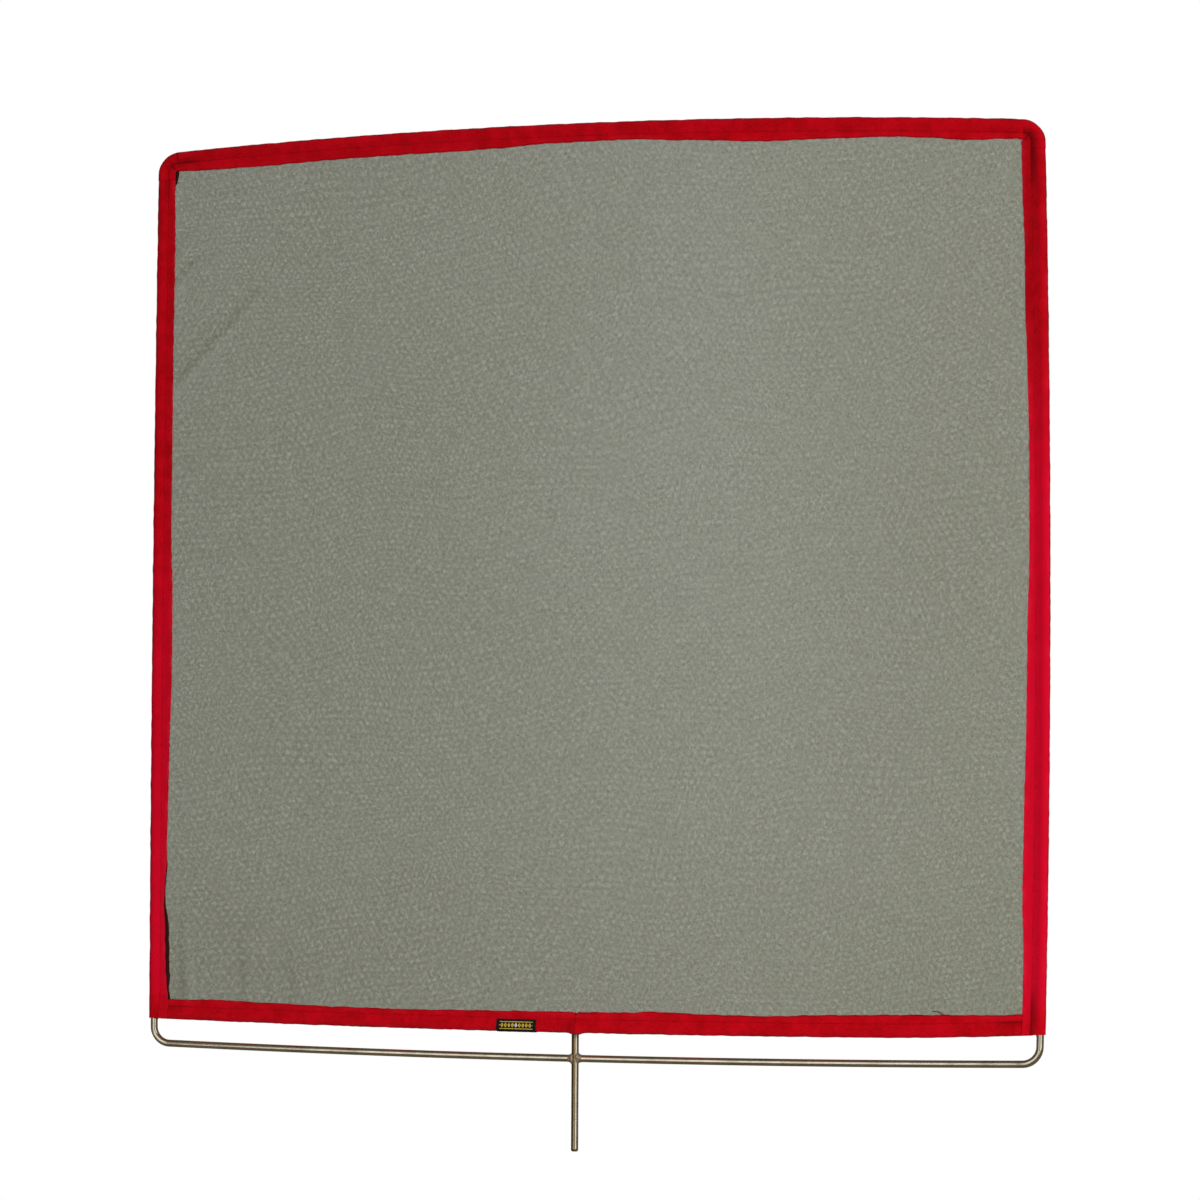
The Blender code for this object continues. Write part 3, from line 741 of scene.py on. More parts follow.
# How wide each tape's front face is along its length, in millimetres, as (place, width).
TOP_FACE = [
    (-0.60, 26.0), (-0.52, 29.0), (-0.46, 30.0), (-0.35, 29.0), (-0.18, 29.0), (-0.12, 27.8),
    (-0.06, 24.7), (0.06, 23.5), (0.13, 26.5), (0.24, 30.0), (0.34, 27.0), (0.41, 24.8),
    (0.46, 26.0), (0.51, 28.4), (0.56, 26.0),
]
BOTTOM_FACE = [
    (-0.57, 26.0), (-0.51, 27.8), (-0.45, 26.3), (-0.34, 24.6), (-0.25, 24.1), (-0.14, 25.5),
    (-0.02, 26.3), (0.06, 26.8), (0.09, 28.5), (0.18, 26.0), (0.24, 25.1), (0.34, 27.7),
    (0.45, 28.8),
]
LEFT_FACE = [
    (0.058, 26.8), (0.078, 24.2), (0.11, 22.3), (0.15, 21.6), (0.19, 19.8), (0.25, 23.2),
    (0.33, 24.8), (0.41, 26.3), (0.50, 28.4), (0.60, 28.2), (0.70, 25.5), (0.96, 25.2),
    (1.10, 25.4), (1.18, 23.9),
]
RIGHT_FACE = [
    (0.06, 29.0), (0.13, 29.2), (0.22, 31.8), (0.32, 31.0), (0.45, 29.0), (0.55, 28.4),
    (0.65, 25.9), (0.80, 25.6), (0.90, 27.0), (0.97, 28.9), (1.05, 28.4), (1.12, 30.0),
    (1.18, 30.2),
]


def face_edge(places, knots, seed):
    """The inner edge's offset from the rod's centreline, with the small unevenness of sewing."""
    width = eased(places, knots) * 0.001
    uneven = 0.00025 * drift(places, seed, 0.012) + 0.00030 * drift(places, seed + 1, 0.030)
    return width - HEM_RADIUS + uneven


def both_edges(front, places, seed):
    """A tape's two edges. The back face is a little narrower, so that the front one covers it."""
    uneven = 0.0006 * drift(places, seed, 0.15) + 0.00025 * drift(places, seed + 1, 0.020)
    return front, front - 0.0021 + uneven


def top_tape():
    """From the right tail up round the corner, along the top and down round the left corner."""
    tail_rows, bend_rows = 6, 26
    level_rows = int(2 * (HALF_WIDTH - BEND_RADIUS) / ROW_STEP)
    tail = np.arange(tail_rows) / tail_rows
    turn = np.arange(bend_rows) / bend_rows * QUARTER
    share = np.linspace(0, 1, level_rows)
    kind = np.concatenate([0 * tail, 0 * turn + 1, 0 * share + 2, 0 * turn + 1, 0 * tail])
    side = np.concatenate([0 * tail + 1, 0 * turn + 1, 0 * share, 0 * turn - 1, 0 * tail - 1])
    value = np.concatenate([tail, turn, 1 - share, (turn + QUARTER / bend_rows)[::-1], tail[::-1]])
    low = LOOP_HEIGHT - BEND_RADIUS - TOP_TAIL

    def lay(offset):
        k, sd, v = kind[:, None], side[:, None], value[:, None]
        inset, _ = inset_at(offset)
        tail_u = sd * (HALF_WIDTH - offset)
        tail_w = low + (LOOP_HEIGHT - inset - low) * v
        bend_u, bend_w = corner(sd, 1, v, offset)
        level_u = (2 * v - 1) * (HALF_WIDTH - inset)
        level_w = LOOP_HEIGHT - offset
        u = np.where(k == 0, tail_u, np.where(k == 1, bend_u, level_u))
        w = np.where(k == 0, tail_w, np.where(k == 1, bend_w, level_w))
        return u, w

    u, w = lay(np.zeros((len(kind), 1)))
    x, z = bowed(u[:, 0], w[:, 0])
    s = length_along(x, z)
    along, height = u[:, 0], w[:, 0]
    bent = np.where(kind == 1, value, np.where(kind == 0, 0.0, QUARTER))
    lift = LAP_LIFT * np.clip((0.5 - bent / QUARTER) / (0.5 - 1 / 6), 0, 1)
    from_corner = HALF_WIDTH - BEND_RADIUS - np.abs(along)
    tight = np.where(kind == 2, ramp(0.030 - from_corner, 0.0, 0.030), 1.0)
    right_edge = face_edge(height, RIGHT_FACE, 15) - 0.0006
    left_edge = face_edge(height, LEFT_FACE, 16) + 0.0006
    down = np.where(side > 0, right_edge, left_edge)
    edge = np.where(kind == 2, face_edge(along, TOP_FACE, 11), down)
    seam = SEAM_OFFSET - 0.0020 * ramp(-along, -0.35, 0.45)
    calm = ramp(np.minimum(s, s[-1] - s), 0.012, 0.045)
    from_mitre = np.where(kind == 1, bent - QUARTER * 0.52, np.inf)[:, None]

    def fold(a, front_seam):
        """A pleat at each corner, where the tape's inner half is folded over itself."""
        inside = ramp(front_seam - a, -0.001, 0.004)
        return -0.00050 * near(from_mitre, 0.16) * inside

    deep = 0.30 + 1.10 * near(along + 0.568, 0.018) + 0.35 * ramp(along, 0.46, 0.56)
    deep = np.where(kind == 2, deep, np.where(side > 0, 1.5, 1.0))
    pocket = POCKET_RADIUS - TIGHT * tight
    tape = Tape("tape_top", s, lay, both_edges(edge, s, 21), 31, calm, pocket, deep,
                seam=seam, lift=lift, notch=fold)
    # Painted shade in the mitred fold at each corner.
    mitre = near(from_mitre, 0.12) * (tape.d > SEAM_OFFSET - 0.004)
    tape.marks["sewn"] = np.maximum(tape.marks["sewn"], mitre)
    turned = ((side > 0) & (kind < 2))[:, None] * ramp(tape.d, SEAM_OFFSET, SEAM_OFFSET + 0.003)
    tape.marks["shaded"] += 0.24 * turned + 0.03 * (kind == 2)[:, None]
    tape.darken_rim(0.50 * (kind == 2))
    return tape.make(0.0005, s[-1] - 0.0005)


def side_tape(side, name, knots, seed):
    """From the hem up to the corner, laid over the hem's end and under the top tape's tail."""
    top = LOOP_HEIGHT - BEND_RADIUS
    crossbar_w = float(crossbar_rise(side * HALF_WIDTH))
    bottom = crossbar_w - HEM_RADIUS
    rows = int((top - bottom) / ROW_STEP)
    w = np.linspace(bottom, top, rows + 1)

    def lay(offset):
        return side * (HALF_WIDTH - offset), w[:, None] + 0 * offset

    x, z = bowed(side * HALF_WIDTH + 0 * w, w)
    s = length_along(x, z)
    hem_top = HEM_COVER + 0.5 * (crossbar_w + CROSSBAR_RISE)
    past = np.clip((w - hem_top) / HEM_RAMP, 0, 1)
    over = hem_outline(w - crossbar_w) + 0.00012
    under_lap = ramp(w, top - 0.025, top - 0.008)
    flange = over * (1 - past) + (FLANGE_Y - 0.00030 * under_lap) * past
    pocket = POCKET_RADIUS + 0.0002 * (1 - past) - TIGHT * under_lap
    edge = face_edge(w, knots, seed)
    calm = ramp(top - w, 0.006, 0.050) * (0.45 + 0.55 * ramp(w, 0.065, 0.10))
    if side < 0:
        seam = SEAM_OFFSET - 0.0020
        deep = 0.22 + 0.80 * ramp(w, top - 0.06, top - 0.01)
        # How much paler and pinker the side tapes are, mostly lower down.
        faded = 0.55 * ramp(0.90 - w, 0.0, 0.45) + 0.40 * ramp(0.45 - w, 0.0, 0.30)
        faded = faded - 0.30 * ramp(w, 0.55, 0.90)
    else:
        seam = SEAM_OFFSET
        deep = 0.30 + 0.30 * ramp(w, top - 0.20, top - 0.08)
        deep = deep + 1.10 * ramp(w, top - 0.075, top - 0.015) + 1.00 * ramp(0.115 - w, 0.0, 0.05)
        faded = ramp(0.98 - w, 0.0, 0.28) * (0.95 + 0.05 * drift(w, 61, 0.20))
    tape = Tape("tape_" + name, s, lay, both_edges(edge, w, seed + 3), seed + 5, calm, pocket, deep,
                seam=seam, flange=flange, faded=np.maximum(faded, 0))
    tape.marks["rubbed"] *= (0.15 + 0.85 * past)[:, None]
    tape.marks["faded"] *= ramp(w, 0.035, 0.105)[:, None]
    if side < 0:
        tape.marks["shaded"] += 0.10 * ramp(w, 0.55, 0.90)[:, None]
    else:
        flap = ramp(tape.d, seam, seam + 0.003)
        tape.marks["shaded"] += (0.10 + 0.14 * flap) * ramp(w, 0.75, 1.02)[:, None]
    return tape.make(0.0010, s[-1] - TOP_TAIL - 0.0006)


def hem_outline(offset):
    """Half the thickness of the bottom hem at an offset from its rod's centreline."""
    seam_y = FLANGE_Y + TAPE_THICKNESS
    turn = float(teardrop(HEM_RADIUS, SEAM_OFFSET, seam_y))
    tangent = HEM_RADIUS * math.cos(turn)
    share = np.clip((offset - tangent) / (SEAM_OFFSET - tangent), 0, 1)
    slope = HEM_RADIUS * math.sin(turn) * (1 - share) + seam_y * share
    round_part = np.sqrt(np.maximum(HEM_RADIUS**2 - np.clip(offset, 0, HEM_RADIUS * 0.999) ** 2, 0))
    return np.where(offset <= 0, HEM_RADIUS, np.where(offset < tangent, round_part, slope))


def pin_bulge(u):
    """How much the bottom hem's pocket is widened by the weld at the pin's top."""
    share = np.minimum(1.0, np.abs(u - PIN_OFFSET) / PIN_BULGE_REACH)
    return PIN_BULGE * (0.5 * (1 + np.cos(np.pi * share))) ** 0.8


def bottom_tape(side, name, seed):
    """From a side rod to the pin, where the two bottom tapes meet and are drawn in."""
    outer = side * TAPE_END
    inner = PIN_OFFSET + side * 0.00003
    u = np.linspace(min(outer, inner), max(outer, inner), int(abs(outer - inner) / ROW_STEP) + 1)

    def lay(offset):
        return u[:, None] + 0 * offset, crossbar_rise(u)[:, None] + offset

    x, z = bowed(u, crossbar_rise(u))
    s = length_along(x, z)
    from_pin = u - PIN_OFFSET
    pinch = near(from_pin - 0.0016, 0.0020)
    edge = face_edge(u, BOTTOM_FACE, seed) - 0.0020 * pinch
    edge = edge - (crossbar_rise(u) - CROSSBAR_RISE) * (1 - 0.45 * ramp(u, 0.55, 0.59))
    calm = ramp(HALF_WIDTH - np.abs(u), 0.026, 0.060)
    past_label = np.abs(u - (LABEL_CENTRE - MIDDLE_X)) - LABEL_WIDTH / 2
    calm = calm * (1 - ramp(0.010 - past_label, 0.0, 0.010))

    def tuck(a, front_seam):
        """The fabric is drawn in round the pin."""
        return -0.00020 * pinch[:, None] * ramp(front_seam - a, -0.002, 0.003)

    deep = 0.26 + 0.30 * near(from_pin, 0.012) + 0.90 * ramp(u, 0.535, 0.570)
    deep = deep + 0.60 * near(u + 0.575, 0.018)
    tape = Tape("tape_bottom_" + name, s, lay, both_edges(edge, u, seed + 3), seed + 5, calm,
                POCKET_RADIUS + pin_bulge(u), deep, notch=tuck)
    at_edge = ramp(tape.d - edge[:, None], -0.0035, -0.0012)
    shade = near(from_pin - 0.0016, 0.0018)[:, None] * at_edge
    if side > 0:
        crease = ramp(from_pin, 0.002, 0.006) * ramp(0.036 - from_pin, 0.0, 0.010)
        shade = shade + crease[:, None] * near(tape.a - 0.0016, 0.0007) * 0.9
    tape.marks["shaded"] += 0.8 * shade + 0.03 * ramp(u, 0.10, 0.40)[:, None]
    tape.darken_rim(0.40 + 0.22 * ramp(u, 0.05, 0.30))
    covered = TAPE_END - (HALF_WIDTH - EDGE_OFFSET - 2 * GAP)
    stitched = (covered, s[-1] - 0.0008) if side < 0 else (0.0008, s[-1] - covered)
    item, flat = tape.make(*stitched)
    cut_pin_hole(item)
    return item, flat


def cut_pin_hole(item):
    """The hole through which the pin goes up into the hem."""
    length = 0.060
    middle = bowed(PIN_OFFSET, CROSSBAR_RISE)[1] - 0.001 - length / 2
    bpy.ops.mesh.primitive_cylinder_add(vertices=48, radius=ROD_RADIUS + 0.00025, depth=length,
                                        location=(0, 0, middle))
    cutter = bpy.context.active_object
    boolean = item.modifiers.new("pin_hole", "BOOLEAN")
    boolean.operation = "DIFFERENCE"
    boolean.solver = "EXACT"
    boolean.object = cutter
    graph = bpy.context.evaluated_depsgraph_get()
    mesh = bpy.data.meshes.new_from_object(item.evaluated_get(graph), depsgraph=graph)
    old = item.data
    item.modifiers.clear()
    item.data = mesh
    bpy.data.meshes.remove(old)
    bpy.data.objects.remove(cutter, do_unlink=True)


# Rods, pin and welds.


def tube(name, path, radius, sides):
    """A rod's piece, with sharp ends."""
    item = new_piece(name, *tube_shape(path, radius, sides))
    item.data.set_sharp_from_angle(angle=math.radians(50))
    return item


def frame_rod():
    """One bent rod from the pin's left side round the flag to its right side."""
    butt = ROD_RADIUS + GAP
    straight = HALF_WIDTH - BEND_RADIUS
    low, high = BEND_RADIUS, LOOP_HEIGHT - BEND_RADIUS
    turns = np.linspace(0, QUARTER, 17)
    fine, coarse = 120, 60
    places = [(u, 0.0) for u in np.linspace(PIN_OFFSET - butt, -straight, fine)[:-1]]
    places += [corner(-1, -1, turn, 0.0) for turn in turns[::-1]]
    places += [(-HALF_WIDTH, w) for w in np.linspace(low, high, coarse)[1:-1]]
    places += [corner(-1, 1, turn, 0.0) for turn in turns]
    places += [(u, LOOP_HEIGHT) for u in np.linspace(-straight, straight, coarse)[1:-1]]
    places += [corner(1, 1, turn, 0.0) for turn in turns[::-1]]
    places += [(HALF_WIDTH, w) for w in np.linspace(high, low, coarse)[1:-1]]
    places += [corner(1, -1, turn, 0.0) for turn in turns]
    places += [(u, 0.0) for u in np.linspace(straight, PIN_OFFSET + butt, fine)[1:]]
    x, z = bowed(*np.array(places, dtype=float).T)
    rod = tube("rod_loop", np.stack([x, 0 * x, z], axis=-1), ROD_RADIUS, 32)
    dress(rod, STEEL, "steel_rod", "frame_rod")


def crossbar():
    """The rod inside the bottom hem, and the weld at its lifted right end."""
    end = HALF_WIDTH - ROD_RADIUS - GAP
    u = np.linspace(-end, end, 160)
    x, z = bowed(u, crossbar_rise(u))
    rod = tube("crossbar_bent", np.stack([x, 0 * x, z], axis=-1), ROD_RADIUS, 32)
    dress(rod, STEEL, "steel_rod", "crossbar")
    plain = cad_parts["weld_crossbar_right"]
    weld = plain.copy()
    weld.data = plain.data.copy()
    weld.name = "bead_crossbar_right"
    weld.location.z += float(crossbar_rise(HALF_WIDTH)) - CROSSBAR_RISE
    bpy.context.scene.collection.objects.link(weld)
    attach(weld, "root")
    dress(weld, BRONZE, "bronze_weld", "weld_crossbar_right")


def pin():
    """The gripping pin, chamfered at its lower end, with two shallow dents from gripping."""
    top = bowed(PIN_OFFSET, CROSSBAR_RISE)[1] - ROD_RADIUS - GAP
    chamfer = 0.0012
    heights = [PIN_END_Z, PIN_END_Z + 0.0001, PIN_END_Z + chamfer, PIN_END_Z + chamfer + 0.0003]
    radii = [ROD_RADIUS - chamfer - 0.00015, ROD_RADIUS - chamfer, ROD_RADIUS - 0.0001, ROD_RADIUS]
    body = np.linspace(PIN_END_Z + 0.004, top, 60)
    heights += list(body)
    dents = 0.00006 * (near(body + 0.012, 0.004) + near(body - 0.010, 0.005))
    radii += list(ROD_RADIUS - dents)
    path = [(0.0, 0.0, z) for z in heights]
    dress(tube("pin_rod", path, np.array(radii), 40), PIN_STEEL, "steel_pin", "pin")


def bar_weld(side, name, upper, lower):
    """The bead between the bar's end and the pin: a fillet, larger in the frame's plane."""
    steps, sides = 15, 36
    share = np.linspace(0, 1, steps)
    leg = BEAD_LEG * 1.15
    reach = ROD_RADIUS * 0.55 + (leg + ROD_RADIUS * 0.45) * share
    turns = 2 * np.pi * np.arange(sides) / sides
    from_pin = np.clip((reach - ROD_RADIUS * 0.9) / leg, 0, 1)
    fillet = (1 - from_pin) ** 2.4
    rng = np.random.default_rng(5 + side)
    size = np.where(np.cos(turns) > 0, upper, lower)
    squeeze = 0.34 + 0.66 * np.cos(turns) ** 2
    lump = sum(np.sin(turns * k + 6.3 * rng.random()) for k in (2, 3, 5)) * 0.09
    extra = BEAD_LEG * 0.72 * fillet[:, None] * (size * squeeze * (1 + lump))[None, :]
    ripple = 0.00016 * np.sin(np.pi * 2 * (share[:, None] * 4.5 + 0.25 * np.sin(turns)[None, :]))
    radius = ROD_RADIUS + 0.00022 + extra + ripple * (0.4 + fillet)[:, None] * 0.8
    radius[-1] = ROD_RADIUS - 0.0002
    x = side * reach[:, None] + 0 * radius
    z = bowed(PIN_OFFSET, 0.0)[1] + radius * np.cos(turns)[None, :]
    y = radius * np.sin(turns)[None, :]
    item = new_piece("bead_" + name, np.stack([x, y, z], axis=-1), tube_faces(steps, sides))
    dress(item, BRONZE, "bronze_weld", "weld_bar_" + name)


# Label.


def label():
    """A woven label folded round the bottom hem."""
    radius = HEM_RADIUS + GAP + LABEL_THICKNESS
    height = FLANGE_Y + TAPE_THICKNESS + GAP + LABEL_THICKNESS
    start = float(teardrop(radius, SEAM_OFFSET, height))
    tangent, side_y = radius * math.cos(start), radius * math.sin(start)
    reach = LABEL_FACE - HEM_RADIUS
    end_share = (SEAM_OFFSET - reach) / (SEAM_OFFSET - tangent)
    web = np.linspace(end_share, 1, 9)[:-1]
    turns = np.linspace(start, 2 * math.pi - start, 27)
    web_d = SEAM_OFFSET + (tangent - SEAM_OFFSET) * web
    web_y = height + (side_y - height) * web
    d = np.concatenate([web_d, radius * np.cos(turns), web_d[::-1]])
    y = np.concatenate([-web_y, -radius * np.sin(turns), web_y[::-1]])
    a = np.concatenate([[0], np.cumsum(np.hypot(np.diff(d), np.diff(y)))])
    rows = 57
    middle = LABEL_CENTRE - MIDDLE_X
    along = np.linspace(-LABEL_WIDTH / 2, LABEL_WIDTH / 2, rows)
    d, y = np.tile(d, (rows, 1)), np.tile(y, (rows, 1))
    normal_d, normal_y = across_normals(d, y)
    from_end = np.minimum(a, a[-1] - a)[None, :]
    curl = 0.00010 * drift(along, 71, 0.016)[:, None] * near(from_end, 0.004)
    wave = 0.00006 * ripples(along[:, None], a[None, :], 73, 0.010, 0.6)
    lift = curl + wave + 0.00016 * near(np.abs(along) - LABEL_WIDTH / 2, 0.0012)[:, None]
    outer_d, outer_y = d + normal_d * lift, y + normal_y * lift
    cloth = 0.00045
    inner_d, inner_y = outer_d - normal_d * cloth, outer_y - normal_y * cloth
    ring_d = np.concatenate([outer_d, inner_d[:, ::-1]], axis=1)
    ring_y = np.concatenate([outer_y, inner_y[:, ::-1]], axis=1)
    ring_a = np.concatenate([np.tile(a, (rows, 1)), np.tile(a[::-1], (rows, 1))], axis=1)
    at_side = np.sign(along) * (np.abs(along) > 0.0265)
    ragged = 0.00012 * drift(ring_a, 75, 0.006) * at_side[:, None]
    place_u = middle + along[:, None] + ragged
    x, z = bowed(place_u, CROSSBAR_RISE + ring_d)
    uv = np.stack([np.broadcast_to(along[:, None], ring_a.shape), ring_a], axis=-1).reshape(-1, 2)
    points = np.stack([x, ring_y, z], axis=-1)
    item = new_piece("label_cloth", points, sheet_faces(*ring_d.shape), uv)
    item.data.set_sharp_from_angle(angle=math.radians(60))
    return dress(item, LABEL, "woven_label", "label"), (float(a[-1]), LABEL_WIDTH)


# Net.


# Long folds at the upper left: place on the diagonal, half width, height, and how far left of
# the middle each one starts and is at its full height.
FOLDS = [
    (1.4840, 0.0085, 1.00, 0.450, 0.500), (1.4650, 0.0080, -0.35, 0.450, 0.500),
    (1.6225, 0.0070, 0.90, 0.545, 0.565), (1.6070, 0.0070, -0.315, 0.545, 0.565),
    (1.5100, 0.0070, 0.45, 0.510, 0.565), (1.6700, 0.0060, 0.50, 0.545, 0.570),
]
# Upright streaks above the hem at the lower left: place, half width and height.
STREAKS = [
    (0.560, 0.0050, 1.0), (0.546, 0.0060, -0.5), (0.474, 0.0065, 0.6), (0.402, 0.0065, 0.4),
]


def net_wrinkles(u, w):
    """How far the net stands off its plane, and how much tighter its threads lie there."""
    folds = sum(height * near(w - u - place, reach) * ramp(-u, start, full)
                for place, reach, height, start, full in FOLDS)
    streaks = sum(height * near(u + 0.05 * w + place, reach) for place, reach, height in STREAKS)
    streaks = streaks * ramp(0.18 - w, 0.0, 0.09)
    slow = drift(u + 0.35 * w, 91, 0.55) * drift(w - 0.2 * u, 92, 0.60)
    stand = 0.0012 * folds + 0.0005 * streaks
    low = ramp(0.36 - w, 0.0, 0.30)
    slope = 0.185 - 0.31 * ramp(u, -0.55, 0.35) + 0.12 * ramp(u, 0.15, 0.50)
    slope = slope + low * (0.13 + 0.03 * ramp(u, 0.2, 0.45))
    slope = slope - 0.080 * near(u - 0.10, 0.20) * near(w - 0.74, 0.28)
    slope = slope + 0.15 * ramp(-u, 0.52, 0.60) * ramp(0.16 - w, 0, 0.1)
    gather = 0.40 * folds + 0.50 * streaks + 0.018 * slow + slope
    return stand, gather


def closer(start, end, count, dense_start, dense_end, times):
    """Places from start to end, which lie closer together in one stretch."""
    fine = np.linspace(start, end, 4001)
    weight = 1 + (times - 1) * ((fine >= dense_start) & (fine <= dense_end))
    total = np.concatenate([[0.0], np.cumsum(0.5 * (weight[1:] + weight[:-1]))])
    return np.interp(np.linspace(0, total[-1], count + 1), total, fine)


def net(name, side, look, node):
    """One layer of net, from seam to seam and round the upper corners."""
    count = 200
    half = HALF_WIDTH - NET_OFFSET
    low, high = CROSSBAR_RISE + NET_OFFSET, LOOP_HEIGHT - NET_OFFSET
    across = closer(-half, half, count, -half, -0.42, 3.0)
    up = closer(low, high, count, 0.86, 1.10, 2.6)
    u, w = np.meshgrid(across, up)
    bend = BEND_RADIUS - NET_OFFSET
    bend_u, bend_w = half - bend, high - bend
    past_u, past_w = np.abs(u) - bend_u, w - bend_w
    reach = np.hypot(np.maximum(past_u, 0), np.maximum(past_w, 0))
    outside = (past_u > 0) & (past_w > 0) & (reach > bend)
    shrink = np.where(outside, bend / np.maximum(reach, 1e-9), 1.0)
    u = np.where(outside, np.sign(u) * (bend_u + past_u * shrink), u)
    w = np.where(outside, bend_w + past_w * shrink, w)
    stand, gather = net_wrinkles(u, w)
    free = 1.0
    for inward in (half - np.abs(u), w - low, high - w):
        free = free * ramp(inward, 0.012, 0.030)
    x, z = bowed(u, w)
    points = np.stack([x, side * NET_GAP + stand * free, z], axis=-1)
    uv = np.stack([x, z], axis=-1).reshape(-1, 2)
    faces = grid_faces(count + 1, count + 1)
    item = new_piece(name, points, faces, uv, {"gather": gather}, turn_out=False)
    solidify = item.modifiers.new("thickness", "SOLIDIFY")
    solidify.thickness = NET_THICKNESS
    solidify.offset = 0
    return dress(item, look, "net", node), (2 * half, high - low)


def net_edge_shadow(name, w, width):
    """The net's doubled edge beside the left tape: a dark strip that is also painted shadow under
    the tape's edge.
    """
    hidden = 0.003
    share = np.linspace(0, 1, 5)
    start = face_edge(w, LEFT_FACE, 41) - hidden
    d = start[:, None] + (width + hidden)[:, None] * share
    y = -0.00075 - 0.00012 * np.sin(np.pi * share) + 0 * d
    x, z = bowed(d - HALF_WIDTH, w[:, None] + 0 * d)
    outer = np.stack([x, y, z], axis=-1)
    inner = np.stack([x, y + 0.00016, z], axis=-1)
    ring = np.concatenate([outer, inner[:, ::-1]], axis=1)
    return dress(new_piece(name, ring, sheet_faces(*ring.shape[:2])), DARK_STRANDS_AND_SHADOW, "net")


def net_edge_shadow_low():
    w = np.linspace(0.0585, 0.262, 120)
    width = 0.0011 * ramp(0.262 - w, 0.0, 0.03) + 0.0044 * ramp(0.205 - w, 0.0, 0.050)
    width = width * (0.42 + 0.58 * ramp(w, 0.062, 0.100)) + 0.0014 * near(w - 0.0590, 0.0036)
    width = width + 0.00020 * drift(w, 93, 0.03)
    return net_edge_shadow("net_edge_shadow_left", w, width)


def net_edge_shadow_high():
    w = np.linspace(1.1640, 1.1925, 24)
    width = 0.0052 * ramp(w, 1.164, 1.186) + 0.0004 * drift(w, 94, 0.01)
    return net_edge_shadow("net_edge_shadow_left_top", w, width)


# Studio.


def plane(name, size, place, look):
    bpy.ops.mesh.primitive_plane_add(size=size, location=place)
    item = bpy.context.active_object
    item.name = name
    item.data.materials.append(look)
    return item


def sky():
    """White where it is seen, and half as strong as light."""
    world = bpy.data.worlds.new("studio")
    bpy.context.scene.world = world
    n = Nodes(world, "Background")
    n.finish(Color=(1, 1, 1, 1), Strength=n.plus(0.50, n.times(n.shown(), 0.50)))


def floor():
    """A grey floor that glows a little where it is seen and goes over into the white far off."""
    n = material("floor")
    far = n.between(n.vector("LENGTH", n.place(), output=1), 1.2, 2.5)
    glow = n.times(n.shown(), n.plus(0.55, n.times(far, 0.45)))
    grey = n.mix(far, (0.50, 0.50, 0.50), (0.0, 0.0, 0.0))
    plane("floor", 60, (0, 0, -0.42),
          n.finish(Base_Color=grey, Roughness=1.0, Specular_IOR_Level=0.0,
                   Emission_Color=(1, 1, 1, 1), Emission_Strength=glow))


def cards():
    """Dark cards all round, which only the rods' reflections show."""
    dark = material("black_card").finish(Base_Color=(0, 0, 0, 1), Roughness=1.0,
                                         Specular_IOR_Level=0.0, Emission_Strength=1.0,
                                         Emission_Color=(0.112, 0.098, 0.068, 1))
    flat, facing, sideways = (0, 0, 0), (QUARTER, 0, 0), (0, QUARTER, 0)
    for name, place, turn, size in (
        ("card_top", (0, -0.2, 3.4), flat, (8.0, 9.4)),
        ("card_back", (0, 4.6, 1.5), facing, (8.0, 3.8)),
        ("card_under", (0, 1.4, -0.40), flat, (8.0, 6.0)),
        ("card_left", (-2.4, -1.0, 1.5), sideways, (3.8, 8.6)),
        ("card_right", (3.0, 1.8, 1.5), sideways, (3.8, 6.0)),
        ("card_front", (0.80, -3.0, 1.5), facing, (1.4, 3.8)),
    ):
        card = plane(name, 1, place, dark)
        card.rotation_euler = turn
        card.scale = (*size, 1)
        card.visible_camera = False
        card.visible_diffuse = False
        card.visible_transmission = False
        card.visible_shadow = False


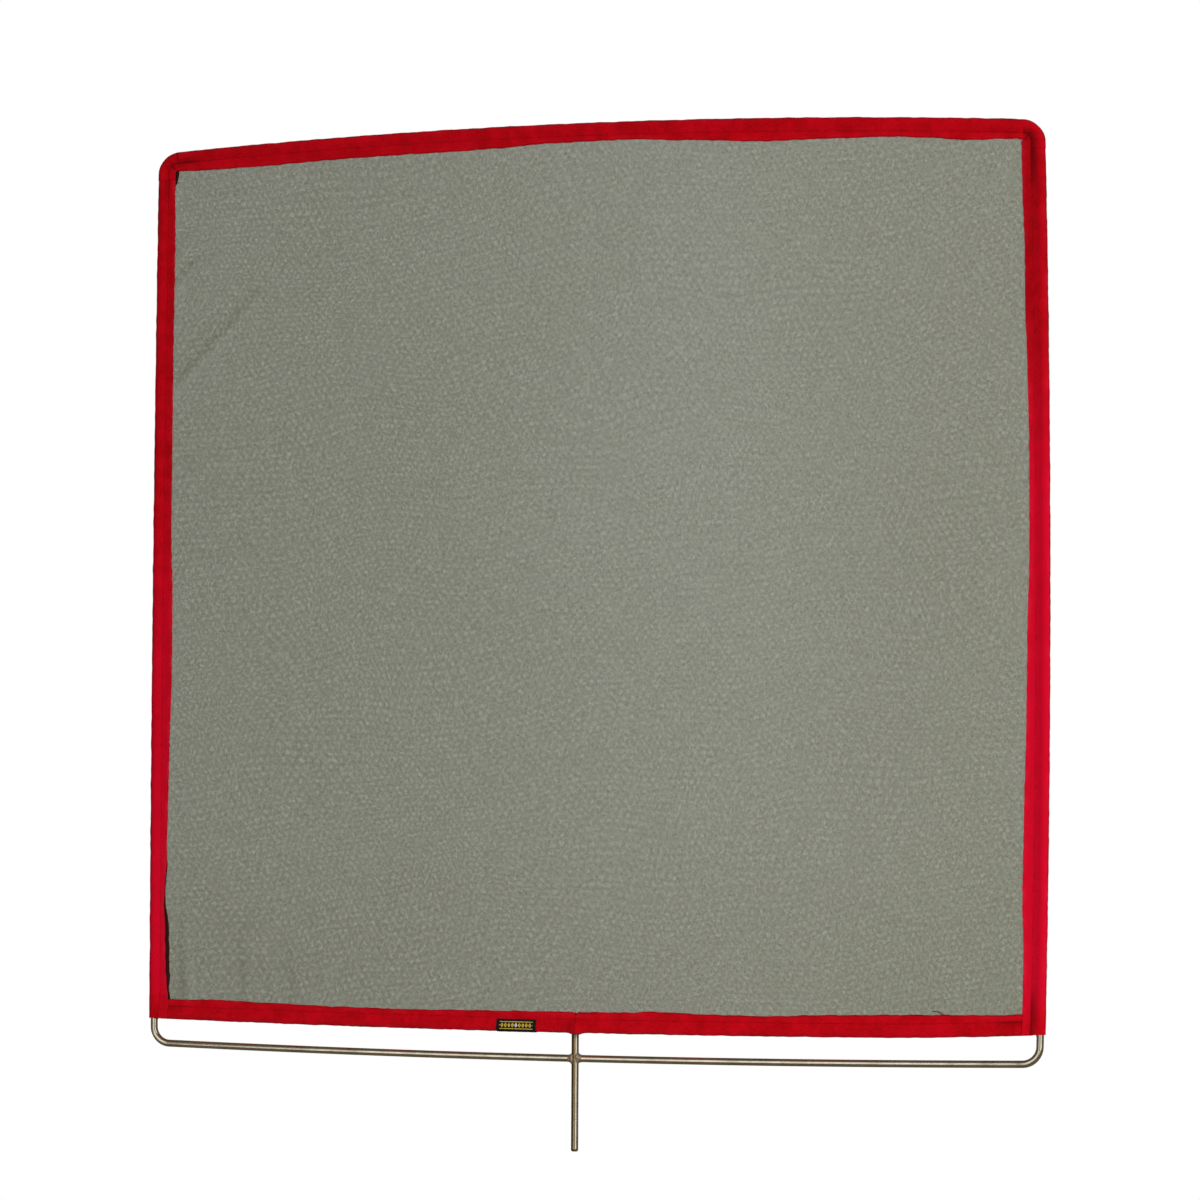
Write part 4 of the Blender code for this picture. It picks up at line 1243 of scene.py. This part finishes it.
def lamps():
    """Round soft lamps, all turned to the flag's middle."""
    for name, place, size, power in (
        ("key", (2.9, -3.1, 0.3), 2.4, 270.0),
        ("fill", (-2.6, -3.8, 2.4), 2.8, 60.0),
        ("back", (-1.4, 3.4, 2.6), 2.6, 150.0),
    ):
        lamp = bpy.data.lights.new(name, "AREA")
        lamp.shape = "DISK"
        lamp.size = size
        lamp.energy = power
        item = bpy.data.objects.new(name, lamp)
        item.location = place
        aim = Vector((0.0, 0.0, 0.65)) - Vector(place)
        item.rotation_euler = aim.to_track_quat("-Z", "Y").to_euler()
        item.visible_glossy = False
        bpy.context.scene.collection.objects.link(item)


# The camera's turn, tilt and roll in degrees, the point on the flag that they are about, and
# where it stands from there in its own axes.
CAMERA_ANGLES = [(15.072, "Z"), (92.696, "X"), (0.328, "Z")]
CAMERA_TARGET = Vector((0.011, 0, 0.6928))
CAMERA_STAND = Vector((0.0186, -0.0263, 5.1046))


def camera():
    """Slightly to the right of the flag's middle and a little below it, looking up."""
    rotation = Matrix.Identity(4)
    for angle, axis in CAMERA_ANGLES:
        rotation = rotation @ Matrix.Rotation(math.radians(angle), 4, axis)
    view = bpy.data.cameras.new("camera")
    view.lens = 115.44
    view.sensor_width = 36
    view.clip_end = 100
    item = bpy.data.objects.new("camera", view)
    item.matrix_world = Matrix.Translation(CAMERA_TARGET + rotation @ CAMERA_STAND) @ rotation
    bpy.context.scene.collection.objects.link(item)
    bpy.context.scene.camera = item


camera()
sky()
floor()
cards()
lamps()

RED = red_tape()
THREAD = red_thread()
STEEL = rod_steel()
PIN_STEEL = pin_steel()
BRONZE = bronze_weld()
LABEL = woven_label()
DARK_STRANDS_AND_SHADOW = dark_strands_and_shadow()
NET_FRONT = net_cloth("net_front_cloth", 8.0, 1.0, 3.0)
NET_BACK = net_cloth("net_back_cloth", 15.2, 1.012, 11.0)

frame_rod()
pin()
bar_weld(-1, "left", 0.85, 1.15)
bar_weld(1, "right", 1.2, 0.85)
crossbar()
for hidden in ("weld_crossbar_left", "weld_pin_crossbar"):
    paint(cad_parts[hidden], BRONZE)

folded = [
    top_tape(),
    side_tape(-1, "left", LEFT_FACE, 41),
    side_tape(1, "right", RIGHT_FACE, 43),
    bottom_tape(-1, "left", 45),
    bottom_tape(1, "right", 47),
    label(),
]
net_front, net_flat = net("net_layer_front", -1, NET_FRONT, "net_front")
net_back, net_flat = net("net_layer_back", 1, NET_BACK, "net_back")
edge_strips = [net_edge_shadow_low(), net_edge_shadow_high()]
loose_thread()

bpy.context.scene.view_settings.view_transform = "Standard"
